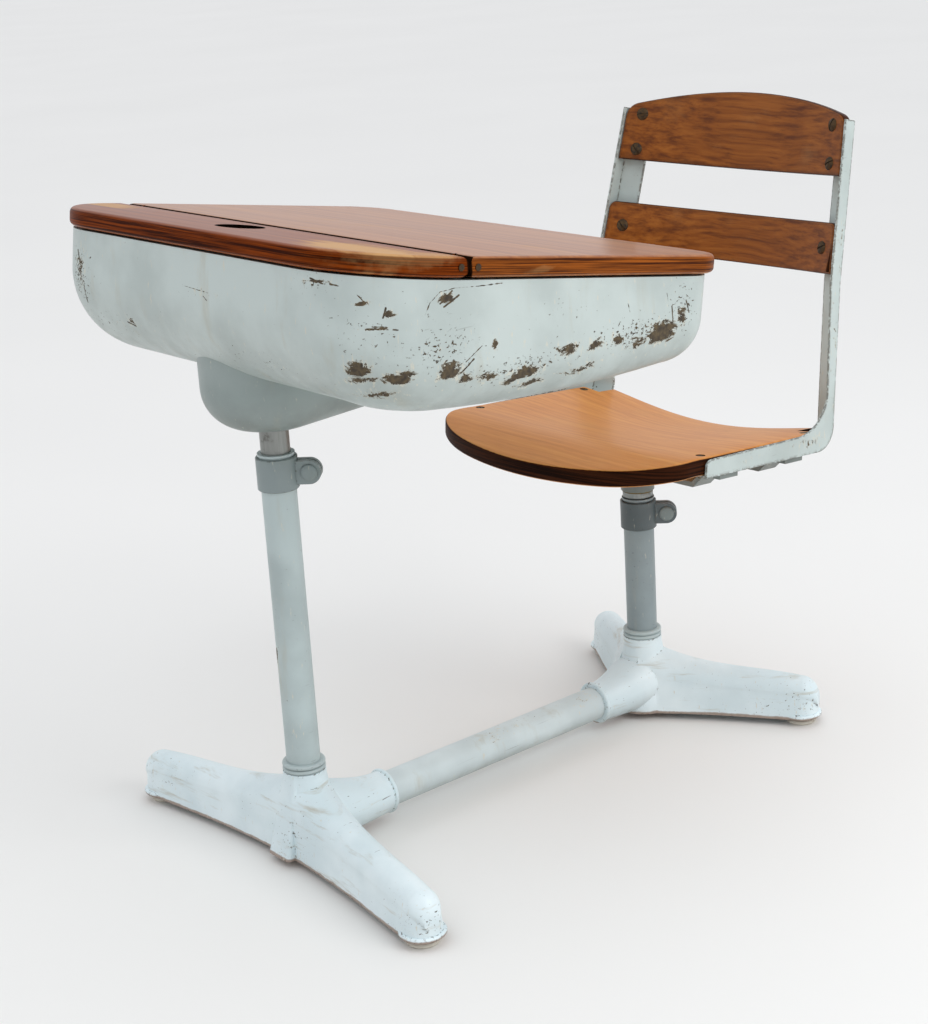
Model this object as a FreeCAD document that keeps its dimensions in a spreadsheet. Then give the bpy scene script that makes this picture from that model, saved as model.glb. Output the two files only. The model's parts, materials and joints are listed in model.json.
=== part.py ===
"""School desk with a lifting lid, a steel book box and an attached swivel seat.

Frame: +Z up, +X to the pupil's left, +Y from the desk towards the seat back.
The origin lies on the floor at the centre of the footprint.  Lengths are millimetres.
"""
import FreeCAD, Part
import Sketcher
import math
import os
from FreeCAD import Placement, Rotation, Vector

doc = FreeCAD.newDocument("school_desk")
sheet = doc.addObject("Spreadsheet::Sheet", "sizes")

# ---------------------------------------------------------------- driving sizes
SIZES = (
    # whole desk
    ("column_spacing", 537.0, "front column axis to seat column axis"),
    ("front_column_y", -340.9, "front column axis from the middle of the footprint"),
    # wooden top: fixed rail and lid
    ("top_height", 712.5, "top surface above the floor, at the front column axis"),
    ("top_slope", 9.0, "fall of the top towards the pupil, degrees"),
    ("top_width", 610.0, "side to side"),
    ("top_depth", 480.0, "front edge to pupil's edge, along the slope"),
    ("top_reach", 90.6, "front edge ahead of the column axis, along the slope"),
    ("top_thickness", 20.0, "board thickness"),
    ("rail_depth", 120.0, "front edge to the hinge line"),
    ("front_corner", 117.0, "plan radius of the two far corners"),
    ("rear_corner", 45.0, "plan radius of the pupil's corners"),
    ("edge_round", 6.0, "rounding along the board edges"),
    ("inkwell_radius", 26.0, "hole in the rail"),
    ("inkwell_setback", 72.0, "hole centre behind the front edge"),
    # lid hinge: two rolling round edges held by links on pins
    ("hinge_gap", 0.4, "between the two rounded edges"),
    ("pin_radius", 2.5, "hinge pins"),
    ("pin_head_radius", 3.4, "visible end of each pin"),
    ("pin_reach", 46.0, "pin length into the board"),
    ("link_inset", 30.0, "link plane in from the side of the top"),
    ("link_thickness", 2.2, "link plate"),
    ("kerf_width", 3.0, "slot that holds a link"),
    ("link_eye", 5.5, "outer radius of a link's eye"),
    ("link_waist", 3.0, "half width of a link between its eyes"),
    ("kerf_radius", 7.5, "radius of the slot round a pin"),
    ("lid_half_angle", 48.0, "turn at each of the two pins when the lid is up, degrees"),
    # steel book box
    ("box_inset", 4.0, "box wall inside the edge of the top"),
    ("box_wall", 1.8, "sheet thickness"),
    ("box_depth", 152.0, "top surface to box bottom at the column axis"),
    ("box_floor_radius", 1900.0, "the bottom is a long shallow curve, front to rear"),
    ("box_floor_low", -20.0, "lowest line of the bottom, behind the column axis"),
    ("box_bottom_round", 50.0, "bottom edge rounding at the pupil's side"),
    ("box_front_round", 88.0, "bottom edge rounding at the front"),
    ("box_rear_corner", 52.0, "plan radius at the pupil's corners"),
    ("rim_width", 19.0, "inward rim under the boards"),
    ("board_gap", 2.2, "washers and bumpers between rim and boards"),
    # pedestal housing under the box
    ("housing_radius", 73.0, "half width, and round front end about the column"),
    ("housing_rear_radius", 58.0, "round rear end"),
    ("housing_length", 172.0, "column axis to the rear of the housing"),
    ("housing_drop", 209.5, "underside below the top surface"),
    ("housing_round", 45.0, "bottom edge rounding"),
    ("housing_wall", 2.0, "sheet thickness"),
    # stem head casting bolted under the box
    ("head_width", 84.0, "plate side to side"),
    ("head_length", 96.0, "plate front to rear"),
    ("head_plate", 8.0, "plate thickness"),
    ("head_boss_radius", 23.0, "boss round the stem"),
    ("head_boss_height", 30.0, "boss below the plate"),
    ("head_bolt_x", 31.0, "bolt from the centre, sideways"),
    ("head_bolt_y", 36.0, "bolt from the centre, front and rear"),
    ("head_shift", 18.0, "plate centre behind the stem axis"),
    # tubes
    ("column_wall", 3.175, "outer tubes, from the desk stem outwards"),
    ("desk_stem_radius", 15.875, "inner tube of the desk"),
    ("seat_stem_radius", 14.3, "inner tube of the seat"),
    ("stem_wall", 3.0, "inner tubes"),
    ("sliding_gap", 0.05, "radial, stem in column"),
    ("desk_stem_below", 200.0, "desk stem inside its column"),
    ("seat_stem_below", 150.0, "seat stem inside its column"),
    ("desk_column_drop", 240.5, "top of the front column below the top surface"),
    ("seat_column_top", 290.0, "top of the seat column above the floor"),
    ("column_bottom", 60.0, "both columns seat on this height in their hubs"),
    ("column_slit", 46.0, "saw cut down from a column's top"),
    # clamps
    ("clamp_height", 36.0, "ring height"),
    ("clamp_wall", 3.4, "ring thickness"),
    ("clamp_below_top", 4.0, "column top above the clamp"),
    ("clamp_gap", 3.0, "split between the ears"),
    ("ear_thickness", 6.0, "each ear"),
    ("ear_radius", 13.0, "round end of each ear"),
    ("ear_reach", 35.0, "bolt from the column axis"),
    ("clamp_turn", 45.0, "ears towards the pupil's left and rear, degrees"),
    ("clamp_bolt_radius", 4.0, "bolt shank"),
    ("clamp_head_radius", 9.2, "round bolt head"),
    ("clamp_head_height", 3.6, "round bolt head"),
    # base castings and beam
    ("hub_height", 104.0, "top of each hub"),
    ("ferrule_height", 12.0, "beaded collar, its middle at the hub top"),
    ("ferrule_bead", 2.6, "bead radius"),
    ("casting_clearance", 9.0, "underside of the castings above the floor"),
    ("leg_wall", 4.5, "thickness of the hollow legs"),
    ("front_foot_x", 246.0, "front glide centres, sideways"),
    ("front_foot_y", -38.0, "front glide centres from the column axis"),
    ("rear_foot_x", 173.0, "rear glide centres, sideways"),
    ("rear_foot_y", 106.0, "rear glide centres from the seat column axis"),
    ("glide_radius", 19.0, "floor disc"),
    ("glide_height", 6.5, "floor disc"),
    ("glide_stem", 4.0, "stud radius"),
    ("glide_stud", 28.0, "top of the stud above the floor"),
    ("beam_radius", 20.65, "outside of the joining tube"),
    ("beam_wall", 3.6, "joining tube"),
    ("beam_height", 36.5, "tube axis above the floor"),
    ("socket_reach", 110.0, "front hub axis to the socket mouth"),
    ("rear_socket_reach", 91.0, "seat hub axis to the socket mouth"),
    ("socket_depth", 60.0, "tube inside each socket"),
    ("socket_wall", 4.2, "metal round the tube"),
    # seat
    ("seat_turn", 2.3, "turn of the seat from straight ahead, degrees"),
    ("seat_height", 368.0, "underside of the seat board at the stem axis"),
    ("seat_slope", 4.9, "fall of the seat towards its back, degrees"),
    ("seat_half_width", 197.0, "seat board"),
    ("seat_front", 202.6, "front edge ahead of the stem"),
    ("seat_shoulder", 125.4, "where the round front begins, ahead of the stem"),
    ("seat_roll", 21.6, "fall of the rolled front edge"),
    ("seat_rear", 140.0, "rear edge behind the stem, between the side frames"),
    ("seat_notch", 107.5, "rear edge where the side frames turn up"),
    ("seat_tongue", 166.0, "half width of the board between the side frames"),
    ("seat_thickness", 21.0, "board at its edges"),
    ("seat_dip", 22.5, "hollow of the top at the rear edge"),
    ("seat_under_dip", 11.0, "hollow of the underside at the rear edge"),
    ("seat_land", 160.0, "half width of the hollowed part of the underside"),
    # seat swivel and bracket
    ("swivel_height", 300.0, "bottom of the swivel hub above the floor"),
    ("thrust_collar", 6.0, "collar pinned to the stem"),
    ("thrust_washer", 2.0, "washer on the collar"),
    ("thrust_radius", 19.0, "collar and washer"),
    ("swivel_gap", 0.05, "radial, hub on stem"),
    ("hub_radius", 21.0, "swivel hub"),
    ("bracket_bar", 32.0, "width of the cross bars"),
    ("bracket_steel", 6.0, "thickness of the cross bars"),
    ("bracket_drop", 16.0, "middle of the bars below the side frames"),
    ("front_bar_y", -58.0, "front cross bar from the stem"),
    ("rear_bar_y", 62.0, "rear cross bar from the stem"),
    # side frames and back
    ("frame_half_width", 201.0, "outer faces of the side frames at the seat"),
    ("frame_steel", 2.5, "sheet thickness"),
    ("frame_web", 32.0, "width of the flange under the seat and behind the slats"),
    ("frame_front", 101.0, "front end of the side frames ahead of the stem"),
    ("frame_depth_front", 21.0, "outer flange beside the seat, front end"),
    ("frame_depth_rear", 24.0, "outer flange beside the seat, before the bend"),
    ("frame_depth_bend", 37.0, "outer flange, middle of the bend"),
    ("frame_depth_low", 14.0, "outer flange, foot of the upright"),
    ("frame_depth_top", 18.0, "outer flange beside the slats"),
    ("frame_bend", 28.0, "outer radius of the bend"),
    ("frame_knee", 50.0, "end of the bend to where the uprights start to narrow"),
    ("frame_knee_y", 137.5, "rear corner of the uprights at the knee, behind the stem"),
    ("frame_foot_lean", 4.0, "lean of the uprights below the knee, degrees"),
    ("frame_toe_in", 0.070, "narrowing per millimetre of height"),
    ("back_y", 139.0, "slat plane behind the stem, at back_z"),
    ("back_z", 419.0, "height where back_y is measured"),
    ("back_lean", 12.5, "lean of the back, degrees"),
    ("slat_radius", 500.0, "rear face of the curved slats"),
    ("slat_contact", 162.0, "where a slat touches its frame, from the middle"),
    ("slat_thickness", 14.0, "both slats"),
    ("slat_play", 0.6, "slat end to frame"),
    ("crest_low", 260.5, "crest lower edge, along the lean"),
    ("crest_high", 330.0, "crest upper edge at its ends"),
    ("crest_rise", 26.0, "arch of the crest's upper edge"),
    ("slat_low", 144.0, "lower slat, lower edge"),
    ("slat_high", 205.0, "lower slat, upper edge"),
    ("upright_top", 327.0, "top of the side frames, along the lean"),
    ("crest_bolt_low", 274.5, "crest bolts, along the lean"),
    ("crest_bolt_high", 320.0, "crest bolts, along the lean"),
    ("slat_bolt", 174.5, "lower slat bolt, along the lean"),
    ("slat_bolt_inset", 21.8, "bolts in from the outer faces of the side frames"),
    # fasteners
    ("bolt_head_radius", 8.0, "domed heads on the slats"),
    ("bolt_radius", 3.0, "bolts through the slats"),
    ("screw_head_radius", 5.5, "flat screws in the seat"),
    ("screw_radius", 2.4, "wood screws"),
    ("rivet_radius", 3.2, "rivets between side frames and bracket"),
    ("hole_gap", 0.15, "hole round a bolt or screw, radial"),
)

for row, (alias, value, note) in enumerate(SIZES, start=1):
    sheet.set("A%d" % row, note)
    sheet.set("B%d" % row, repr(value))
    sheet.setAlias("B%d" % row, alias)
doc.recompute()

FRONT_TOP = "sizes.top_height - sizes.desk_column_drop"     # top of the front column
SEAT_TOP = "sizes.seat_column_top"
COLUMN = "sizes.desk_stem_radius + sizes.column_wall"

NODES = {}                      # node name -> document object, in the order they are built


def size(alias):
    """Value of one driving size."""
    return float(sheet.get(alias))


def column_radius():
    """Outside of both columns, round the desk's stem."""
    return size("desk_stem_radius") + size("column_wall")


def bind(item, path, expression):
    item.setExpression(path, str(expression))


def place(item, at=(0, 0, 0), axis=None, angle=None):
    """Bind an object's place: a point and one turn, each given as an expression."""
    if axis is not None:
        item.Placement = Placement(Vector(), Rotation(Vector(*axis), 1.0))
        bind(item, "Placement.Rotation.Angle", angle)
    for letter, value in zip("xyz", at):
        bind(item, "Placement.Base." + letter, value)
    return item


def primitive(kind, name, at=None, axis=None, angle=None, **lengths):
    item = doc.addObject("Part::" + kind, name)
    for key, value in lengths.items():
        bind(item, key, value)
    return place(item, at, axis, angle) if at else item


def fuse(name, *items):
    item = doc.addObject("Part::MultiFuse", name)
    item.Shapes = list(items)
    item.Refine = True
    return item


def cut(name, base, *tools):
    """Subtract the tools one after another."""
    item = base
    for index, tool in enumerate(tools):
        last = index == len(tools) - 1
        step = doc.addObject("Part::Cut", name if last else "%s_cut%d" % (name, index))
        step.Base = item
        step.Tool = tool
        step.Refine = True
        item = step
    return item


def common(name, first, second):
    item = doc.addObject("Part::Common", name)
    item.Base = first
    item.Tool = second
    item.Refine = True
    return item


def group(name, items):
    item = doc.addObject("Part::Compound", name)
    item.Links = list(items)
    return item


def made(name, shape):
    """A sub-part whose form is worked out with Part's own functions."""
    item = doc.addObject("Part::Feature", name)
    matrix = shape.Placement.Matrix
    plain = shape.copy()
    plain.Placement = Placement()
    item.Shape = plain.transformed(matrix, True)
    return item


def node(name, item):
    item.Label = name
    NODES[name] = item
    return item


def seat_node(name, item):
    """A piece of the swivelling seat, turned about the stem axis to where the seat rests."""
    turned = group(name + "_turned", [item])
    axis_y = "(sizes.front_column_y + sizes.column_spacing)"
    place(turned, (axis_y + " * sin(sizes.seat_turn)", axis_y + " * (1 - cos(sizes.seat_turn))", "0"),
          (0, 0, 1), "sizes.seat_turn")
    return node(name, turned)


def to_top(item):
    """Into the sloping frame of the top: origin on the column axis at the top surface."""
    return place(item, ("0", "sizes.front_column_y", "sizes.top_height"), (1, 0, 0), "-sizes.top_slope")


def to_front(item, height="0"):
    return place(item, ("0", "sizes.front_column_y", height))


def to_rear(item, height="0"):
    return place(item, ("0", "sizes.front_column_y + sizes.column_spacing", height))


def to_seat(item):
    """Into the sloping frame of the seat: origin on the stem axis, on top of the side frames' flange."""
    return place(item, ("0", "sizes.front_column_y + sizes.column_spacing", "sizes.seat_height"),
                 (1, 0, 0), "-sizes.seat_slope")


def outline(body, role, name, points):
    """A closed sketch of straight lines whose corners are bound to expressions."""
    plane = [item for item in body.Origin.OriginFeatures if item.Role == role][0]
    sketch = body.newObject("Sketcher::SketchObject", name)
    sketch.AttachmentSupport = [(plane, "")]
    sketch.MapMode = "FlatFace"
    known = []
    for across, along in points:
        known.append(Vector(evaluate(across), evaluate(along), 0))
    count = len(points)
    for index in range(count):
        sketch.addGeometry(Part.LineSegment(known[index], known[(index + 1) % count]), False)
    for index in range(count):
        sketch.addConstraint(Sketcher.Constraint("Coincident", index, 2, (index + 1) % count, 1))
    for index, (across, along) in enumerate(points):
        spans = (("DistanceX", across, known[index].x), ("DistanceY", along, known[index].y))
        for kind, text, value in spans:
            number = sketch.addConstraint(Sketcher.Constraint(kind, -1, 1, index, 1, value))
            bind(sketch, "Constraints[%d]" % number, text)
    return sketch


def evaluate(expression):
    return float(sheet.evalExpression(str(expression)))


def pad(body, name, sketch, length, downwards=False):
    feature = body.newObject("PartDesign::Pad", name)
    feature.Profile = sketch
    bind(feature, "Length", length)
    feature.Reversed = downwards
    doc.recompute()
    return feature


def round_edges(body, name, base, radius, wanted):
    """Fillet the edges of base for which wanted(edge) is true."""
    names = ["Edge%d" % (index + 1) for index, edge in enumerate(base.Shape.Edges) if wanted(edge)]
    feature = body.newObject("PartDesign::Fillet", name)
    feature.Base = (base, names)
    bind(feature, "Radius", radius)
    doc.recompute()
    return feature


def is_upright(edge):
    ends = edge.Vertexes
    return len(ends) == 2 and abs(ends[0].X - ends[1].X) < 0.01 and abs(ends[0].Y - ends[1].Y) < 0.01


# ---------------------------------------------------------------- wooden top
def top_blank():
    """The whole top before it is sawn at the hinge line: one board with round corners and edges."""
    body = doc.addObject("PartDesign::Body", "top_blank")
    near, far = "-sizes.top_reach", "sizes.top_depth - sizes.top_reach"
    half = "sizes.top_width / 2"
    sketch = outline(body, "XY_Plane", "top_outline",
                     (("-" + half, near), (half, near), (half, far), ("-" + half, far)))
    board = pad(body, "top_board", sketch, "sizes.top_thickness", downwards=True)
    front = round_edges(body, "top_front_corners", board, "sizes.front_corner",
                        lambda edge: is_upright(edge) and edge.Vertexes[0].Y < 0)
    rear = round_edges(body, "top_rear_corners", front, "sizes.rear_corner",
                       lambda edge: is_upright(edge) and edge.Vertexes[0].Y > size("top_depth") / 2)
    round_edges(body, "top_edges", rear, "sizes.edge_round",
                lambda edge: abs(edge.BoundBox.ZMax - edge.BoundBox.ZMin) < 0.01)
    return body


SEAM = "(sizes.rail_depth - sizes.top_reach)"
HALF_BOARD = "(sizes.top_thickness / 2)"
RAIL_PIN_Y = "(%s - sizes.hinge_gap / 2 - %s)" % (SEAM, HALF_BOARD)
LID_PIN_Y = "(%s + sizes.hinge_gap / 2 + %s)" % (SEAM, HALF_BOARD)


def half_of_top(name, blank, pin_y, towards_front):
    """The part of the blank on one side of the hinge line, with its hinge edge a full half round."""
    reach = "sizes.top_width"
    start = "%s - %s" % (pin_y, reach) if towards_front else pin_y
    slab = primitive("Box", name + "_slab", ("-sizes.top_width", start, "-sizes.top_thickness"),
                     Length="2 * sizes.top_width", Width=reach, Height="sizes.top_thickness")
    nose = primitive("Cylinder", name + "_nose", ("-sizes.top_width", pin_y, "-" + HALF_BOARD),
                     (0, 1, 0), "90", Radius=HALF_BOARD, Height="2 * sizes.top_width")
    return common(name + "_board", blank, fuse(name + "_profile", slab, nose))


def link_kerf(name, pin_y, side, towards_rear):
    """Slot for one link: a round chamber at the pin and a mouth as wide as the link's swing."""
    eye = size("kerf_radius")
    swing = size("lid_half_angle")
    reach = size("top_thickness") * 1.5
    spread = math.degrees(math.asin((size("link_waist") + 1.0) / eye))
    centre = Vector(0, evaluate(pin_y), -size("top_thickness") / 2)
    sign = 1 if towards_rear else -1
    corners = [centre]
    for angle in (-spread, swing / 2, swing + spread):
        turn = math.radians(angle)
        corners.append(centre + Vector(0, sign * math.cos(turn), math.sin(turn)) * reach)
    mouth = Part.Face(Part.makePolygon(corners + [centre]))
    chamber = Part.Face(Part.Wire(Part.makeCircle(eye, centre, Vector(1, 0, 0))))
    width = size("kerf_width")
    middle = side * (size("top_width") / 2 - size("link_inset"))
    slot = mouth.extrude(Vector(width, 0, 0)).fuse(chamber.extrude(Vector(width, 0, 0)))
    slot.translate(Vector(middle - width / 2, 0, 0))
    return made(name, slot)


def pin_hole(name, pin_y, side):
    """Bore for a hinge pin, from the side of the board inwards."""
    start = "%d * (sizes.top_width / 2 + 1)" % side
    return primitive("Cylinder", name, (start, pin_y, "-" + HALF_BOARD), (0, 1, 0), "%d" % (-90 * side),
                     Radius="sizes.pin_radius + sizes.sliding_gap", Height="sizes.pin_reach + 1.5")


def hinge_pins(name, pin_y):
    """A pin with a small round head at each end of the hinge line."""
    pieces = []
    for side, tag in ((1, "left"), (-1, "right")):
        start = "%d * sizes.top_width / 2" % side
        shank = primitive("Cylinder", "%s_shank_%s" % (name, tag), (start, pin_y, "-" + HALF_BOARD),
                          (0, 1, 0), "%d" % (-90 * side),
                              Radius="sizes.pin_radius", Height="sizes.pin_reach")
        head = primitive("Cylinder", "%s_head_%s" % (name, tag), (start, pin_y, "-" + HALF_BOARD),
                         (0, 1, 0), "%d" % (90 * side), Radius="sizes.pin_head_radius", Height="0.8")
        pieces.append(fuse("%s_%s" % (name, tag), shank, head))
    node(name, to_top(group(name + "_pair", pieces)))


def hinge_link(side, tag):
    """A flat plate with an eye at each pin."""
    thick = size("link_thickness")
    rail_eye = Vector(0, evaluate(RAIL_PIN_Y), -size("top_thickness") / 2)
    lid_eye = Vector(0, evaluate(LID_PIN_Y), -size("top_thickness") / 2)
    along_x = Vector(1, 0, 0)
    waist = size("link_waist")
    plate = Part.makeBox(thick, lid_eye.y - rail_eye.y, 2 * waist,
                         Vector(0, rail_eye.y, rail_eye.z - waist))
    for eye in (rail_eye, lid_eye):
        plate = plate.fuse(Part.makeCylinder(size("link_eye"), thick, eye, along_x))
    for eye in (rail_eye, lid_eye):
        bore = size("pin_radius") + size("sliding_gap")
        plate = plate.cut(Part.makeCylinder(bore, thick, eye, along_x))
    middle = side * (size("top_width") / 2 - size("link_inset"))
    plate.translate(Vector(middle - thick / 2, 0, 0))
    node("hinge_link_" + tag, to_top(made("hinge_link_" + tag, plate.removeSplitter())))


def rail_screw_places():
    """Screws that hold the rail down on the rim: two on each side of the inkwell hole."""
    across = size("top_width") / 2
    return ((-across + 92, -size("top_reach") + 18), (-across / 3, -size("top_reach") + 18),
            (across / 3, -size("top_reach") + 18), (across - 92, -size("top_reach") + 18))


def lid_bumper_places():
    """Rubber bumpers on the rim under the lid's free corners and edge."""
    across = size("top_width") / 2 - 58
    along = size("top_depth") - size("top_reach") - size("box_inset") - size("rim_width") / 2 - 2
    return ((-across, along), (0, along), (across, along))


def wooden_top():
    blank = top_blank()
    rail = half_of_top("rail", blank, RAIL_PIN_Y, towards_front=True)
    lid = half_of_top("lid", blank, LID_PIN_Y, towards_front=False)
    rail_tools = [primitive("Cylinder", "inkwell_hole",
                            ("0", "sizes.inkwell_setback - sizes.top_reach", "-sizes.top_thickness - 1"),
                            Radius="sizes.inkwell_radius", Height="sizes.top_thickness + 2")]
    lid_tools = []
    for side, tag in ((1, "left"), (-1, "right")):
        rail_tools.append(link_kerf("rail_kerf_" + tag, RAIL_PIN_Y, side, towards_rear=True))
        rail_tools.append(pin_hole("rail_pin_hole_" + tag, RAIL_PIN_Y, side))
        lid_tools.append(link_kerf("lid_kerf_" + tag, LID_PIN_Y, side, towards_rear=False))
        lid_tools.append(pin_hole("lid_pin_hole_" + tag, LID_PIN_Y, side))
    for index, (across, along) in enumerate(rail_screw_places()):
        rail_tools.append(primitive("Cylinder", "rail_pilot_%d" % index,
                                    (across, along, "-sizes.top_thickness - 1"),
                                    Radius="sizes.screw_radius + sizes.sliding_gap", Height="15"))
    node("top_rail", to_top(cut("top_rail", rail, *rail_tools)))
    node("desk_lid", to_top(cut("desk_lid", lid, *lid_tools)))
    hinge_pins("rail_pins", RAIL_PIN_Y)
    hinge_pins("lid_pins", LID_PIN_Y)
    hinge_link(1, "left")
    hinge_link(-1, "right")


# ---------------------------------------------------------------- steel book box
RIM_TOP = "(sizes.top_thickness + sizes.board_gap)"


def box_form(name, inset, top_drop, floor_shift):
    """Solid of the book box: walls square to the top, bottom a shallow curve with deeply rounded edges."""
    body = doc.addObject("PartDesign::Body", name)
    half = "(sizes.top_width / 2 - sizes.box_inset - %s)" % inset
    near = "(-sizes.top_reach + sizes.box_inset + %s)" % inset
    far = "(sizes.top_depth - sizes.top_reach - sizes.box_inset - %s)" % inset
    sketch = outline(body, "XY_Plane", name + "_plan",
                     (("-" + half, near), (half, near), (half, far), ("-" + half, far)))
    block = pad(body, name + "_block", sketch, "sizes.box_depth + 20", downwards=True)
    front = round_edges(body, name + "_front", block, "sizes.front_corner - sizes.box_inset - %s" % inset,
                        lambda edge: is_upright(edge) and edge.Vertexes[0].Y < 0)
    round_edges(body, name + "_rear", front, "sizes.box_rear_corner - %s" % inset,
                lambda edge: is_upright(edge) and edge.Vertexes[0].Y > size("top_depth") / 2)
    below = floor_outline(body, name + "_floor", "(-sizes.box_depth + %s)" % floor_shift)
    pocket(body, name + "_bottom", below, "2 * sizes.top_width")
    run = "sizes.top_depth * 2"
    above = outline(body, "YZ_Plane", name + "_top",
                    (("-" + run, "-(%s)" % top_drop), (run, "-(%s)" % top_drop),
                     (run, "10"), ("-" + run, "10")))
    topped = pocket(body, name + "_rim", above, "2 * sizes.top_width")
    return rounded_bottom(name + "_rounded", topped, inset)


def rounded_bottom(name, topped, inset):
    """Fillet round the bottom: deeper at the front, tapering along the sides to the rear rounding."""
    front, rear = "(sizes.box_front_round - %s)" % inset, "(sizes.box_bottom_round - %s)" % inset
    wide, slim = evaluate(front), evaluate(rear)
    half_way = -size("box_depth") * 0.5
    edges = []
    for index, edge in enumerate(topped.Shape.Edges, start=1):
        if edge.BoundBox.ZMax < half_way and not is_upright(edge):
            start, end = edge.Vertexes[0].Y, edge.Vertexes[-1].Y
            if abs(start - end) > size("top_depth") * 0.4:
                edges.append((index, wide, slim) if start < end else (index, slim, wide))
            else:
                radius = wide if edge.BoundBox.Center.y < size("top_depth") * 0.3 else slim
                edges.append((index, radius, radius))
    item = doc.addObject("Part::Fillet", name)
    item.Base = topped
    item.Edges = edges
    doc.recompute()
    return item


def floor_outline(body, name, floor_z):
    """Closed sketch of all that lies below the curved bottom: one large arc over a rectangle."""
    plane = [item for item in body.Origin.OriginFeatures if item.Role == "YZ_Plane"][0]
    sketch = body.newObject("Sketcher::SketchObject", name)
    sketch.AttachmentSupport = [(plane, "")]
    sketch.MapMode = "FlatFace"
    radius = size("box_floor_radius")
    low = Vector(size("box_floor_low"), evaluate(floor_z), 0)
    centre = low + Vector(0, radius, 0)
    reach = size("top_depth") * 1.3
    rise = radius - math.sqrt(radius ** 2 - reach ** 2)
    deep = low.y - size("top_depth")
    left, right = Vector(low.x - reach, low.y + rise, 0), Vector(low.x + reach, low.y + rise, 0)
    circle = Part.Circle(centre, Vector(0, 0, 1), radius)
    spread = math.asin(reach / radius)
    sketch.addGeometry(Part.ArcOfCircle(circle, -math.pi / 2 - spread, -math.pi / 2 + spread), False)
    corners = [right, Vector(right.x, deep, 0), Vector(left.x, deep, 0), left]
    for index in range(3):
        sketch.addGeometry(Part.LineSegment(corners[index], corners[index + 1]), False)
    sketch.addConstraint(Sketcher.Constraint("Coincident", 0, 2, 1, 1))
    sketch.addConstraint(Sketcher.Constraint("Coincident", 1, 2, 2, 1))
    sketch.addConstraint(Sketcher.Constraint("Coincident", 2, 2, 3, 1))
    sketch.addConstraint(Sketcher.Constraint("Coincident", 3, 2, 0, 1))
    bound = (("DistanceX", 0, 3, low.x, "sizes.box_floor_low"),
             ("DistanceY", 0, 3, centre.y, "%s + sizes.box_floor_radius" % floor_z))
    for kind, element, point, value, text in bound:
        number = sketch.addConstraint(Sketcher.Constraint(kind, -1, 1, element, point, value))
        bind(sketch, "Constraints[%d]" % number, text)
    number = sketch.addConstraint(Sketcher.Constraint("Radius", 0, radius))
    bind(sketch, "Constraints[%d]" % number, "sizes.box_floor_radius")
    return sketch


def pocket(body, name, sketch, length):
    feature = body.newObject("PartDesign::Pocket", name)
    feature.Profile = sketch
    bind(feature, "Length", length)
    feature.Midplane = True
    doc.recompute()
    return feature


def book_box():
    outer = box_form("box_outer", "0", RIM_TOP, "0")
    inner = box_form("box_inner", "sizes.box_wall", RIM_TOP + " + sizes.box_wall", "sizes.box_wall")
    mouth = box_form("box_mouth", "sizes.rim_width", RIM_TOP + " - 1", "sizes.box_depth * 0.4")
    tools = [inner, mouth]
    holes = []
    for index, (across, along) in enumerate(rail_screw_places()):
        holes.append(primitive("Cylinder", "rim_hole_%d" % index,
                               (across, along, "-%s - 4" % RIM_TOP),
                               Radius="sizes.screw_radius + sizes.hole_gap", Height="8"))
    tools += holes
    for index, (across, along) in enumerate(head_bolt_places()):
        tools.append(to_box_floor(primitive("Cylinder", "box_bolt_hole_%d" % index, None,
                                            Radius="sizes.bolt_radius + sizes.hole_gap", Height="20"),
                                  across, along, "-10"))
    node("book_box", to_top(cut("book_box", outer, *tools)))
    return outer


def to_box_floor(item, across, along, height="0"):
    """In the frame of the top, with the height measured from the lowest line of the box bottom."""
    return place(item, (across, along + FLOOR_SHIFT, "%s - sizes.box_depth" % height))


FLOOR_SHIFT = " + sizes.box_depth * tan(sizes.top_slope)"


def floor_rise(along):
    """Rise of the curved bottom above its lowest line, as an expression, with room for a flat head."""
    reach = "(%s%s - sizes.box_floor_low)" % (along, FLOOR_SHIFT)
    return "(sizes.box_floor_radius - sqrt(sizes.box_floor_radius^2 - %s^2) + 0.3)" % reach


def head_bolt_places():
    return [(across + "sizes.head_bolt_x", "(sizes.head_shift %s sizes.head_bolt_y)" % along)
            for across in ("-", "") for along in ("-", "+")]


# ---------------------------------------------------------------- pedestal housing, stem head and stem
def housing_form(name, wall):
    """Upright form, round about the column, tapering to a smaller round end, with a rounded underside."""
    front = size("housing_radius") - wall
    rear = size("housing_rear_radius") - wall
    run = size("housing_length") - size("housing_rear_radius")
    low = size("top_height") - size("housing_drop") + wall
    high = size("top_height") - size("box_depth") + 30
    taper = math.asin((front - rear) / run)
    normal = Vector(math.cos(taper), math.sin(taper), 0)
    mirrored = Vector(-normal.x, normal.y, 0)
    base, far = Vector(0, 0, low), Vector(0, run, low)
    wire = Part.Wire([
        Part.Arc(base + mirrored * front, base - Vector(0, front, 0), base + normal * front).toShape(),
        Part.LineSegment(base + normal * front, far + normal * rear).toShape(),
        Part.Arc(far + normal * rear, far + Vector(0, rear, 0), far + mirrored * rear).toShape(),
        Part.LineSegment(far + mirrored * rear, base + mirrored * front).toShape()])
    form = Part.Face(wire).extrude(Vector(0, 0, high - low))
    seam = [edge for edge in form.Edges if not is_upright(edge) and edge.BoundBox.ZMax < low + 0.01]
    form = form.makeFillet(size("housing_round") - wall, seam)
    form.translate(Vector(0, size("front_column_y"), 0))
    return made(name, form)


def housing_ceiling(box_outer):
    """Straight prism with the side outline of the book box, which the housing fits up against."""
    side = Part.Face(box_outer.Shape.slice(Vector(1, 0, 0), 0)[0])
    half = size("housing_radius") + 20
    side.translate(Vector(-half, 0, 0))
    return to_top(made("housing_ceiling", side.extrude(Vector(2 * half, 0, 0))))


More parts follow.
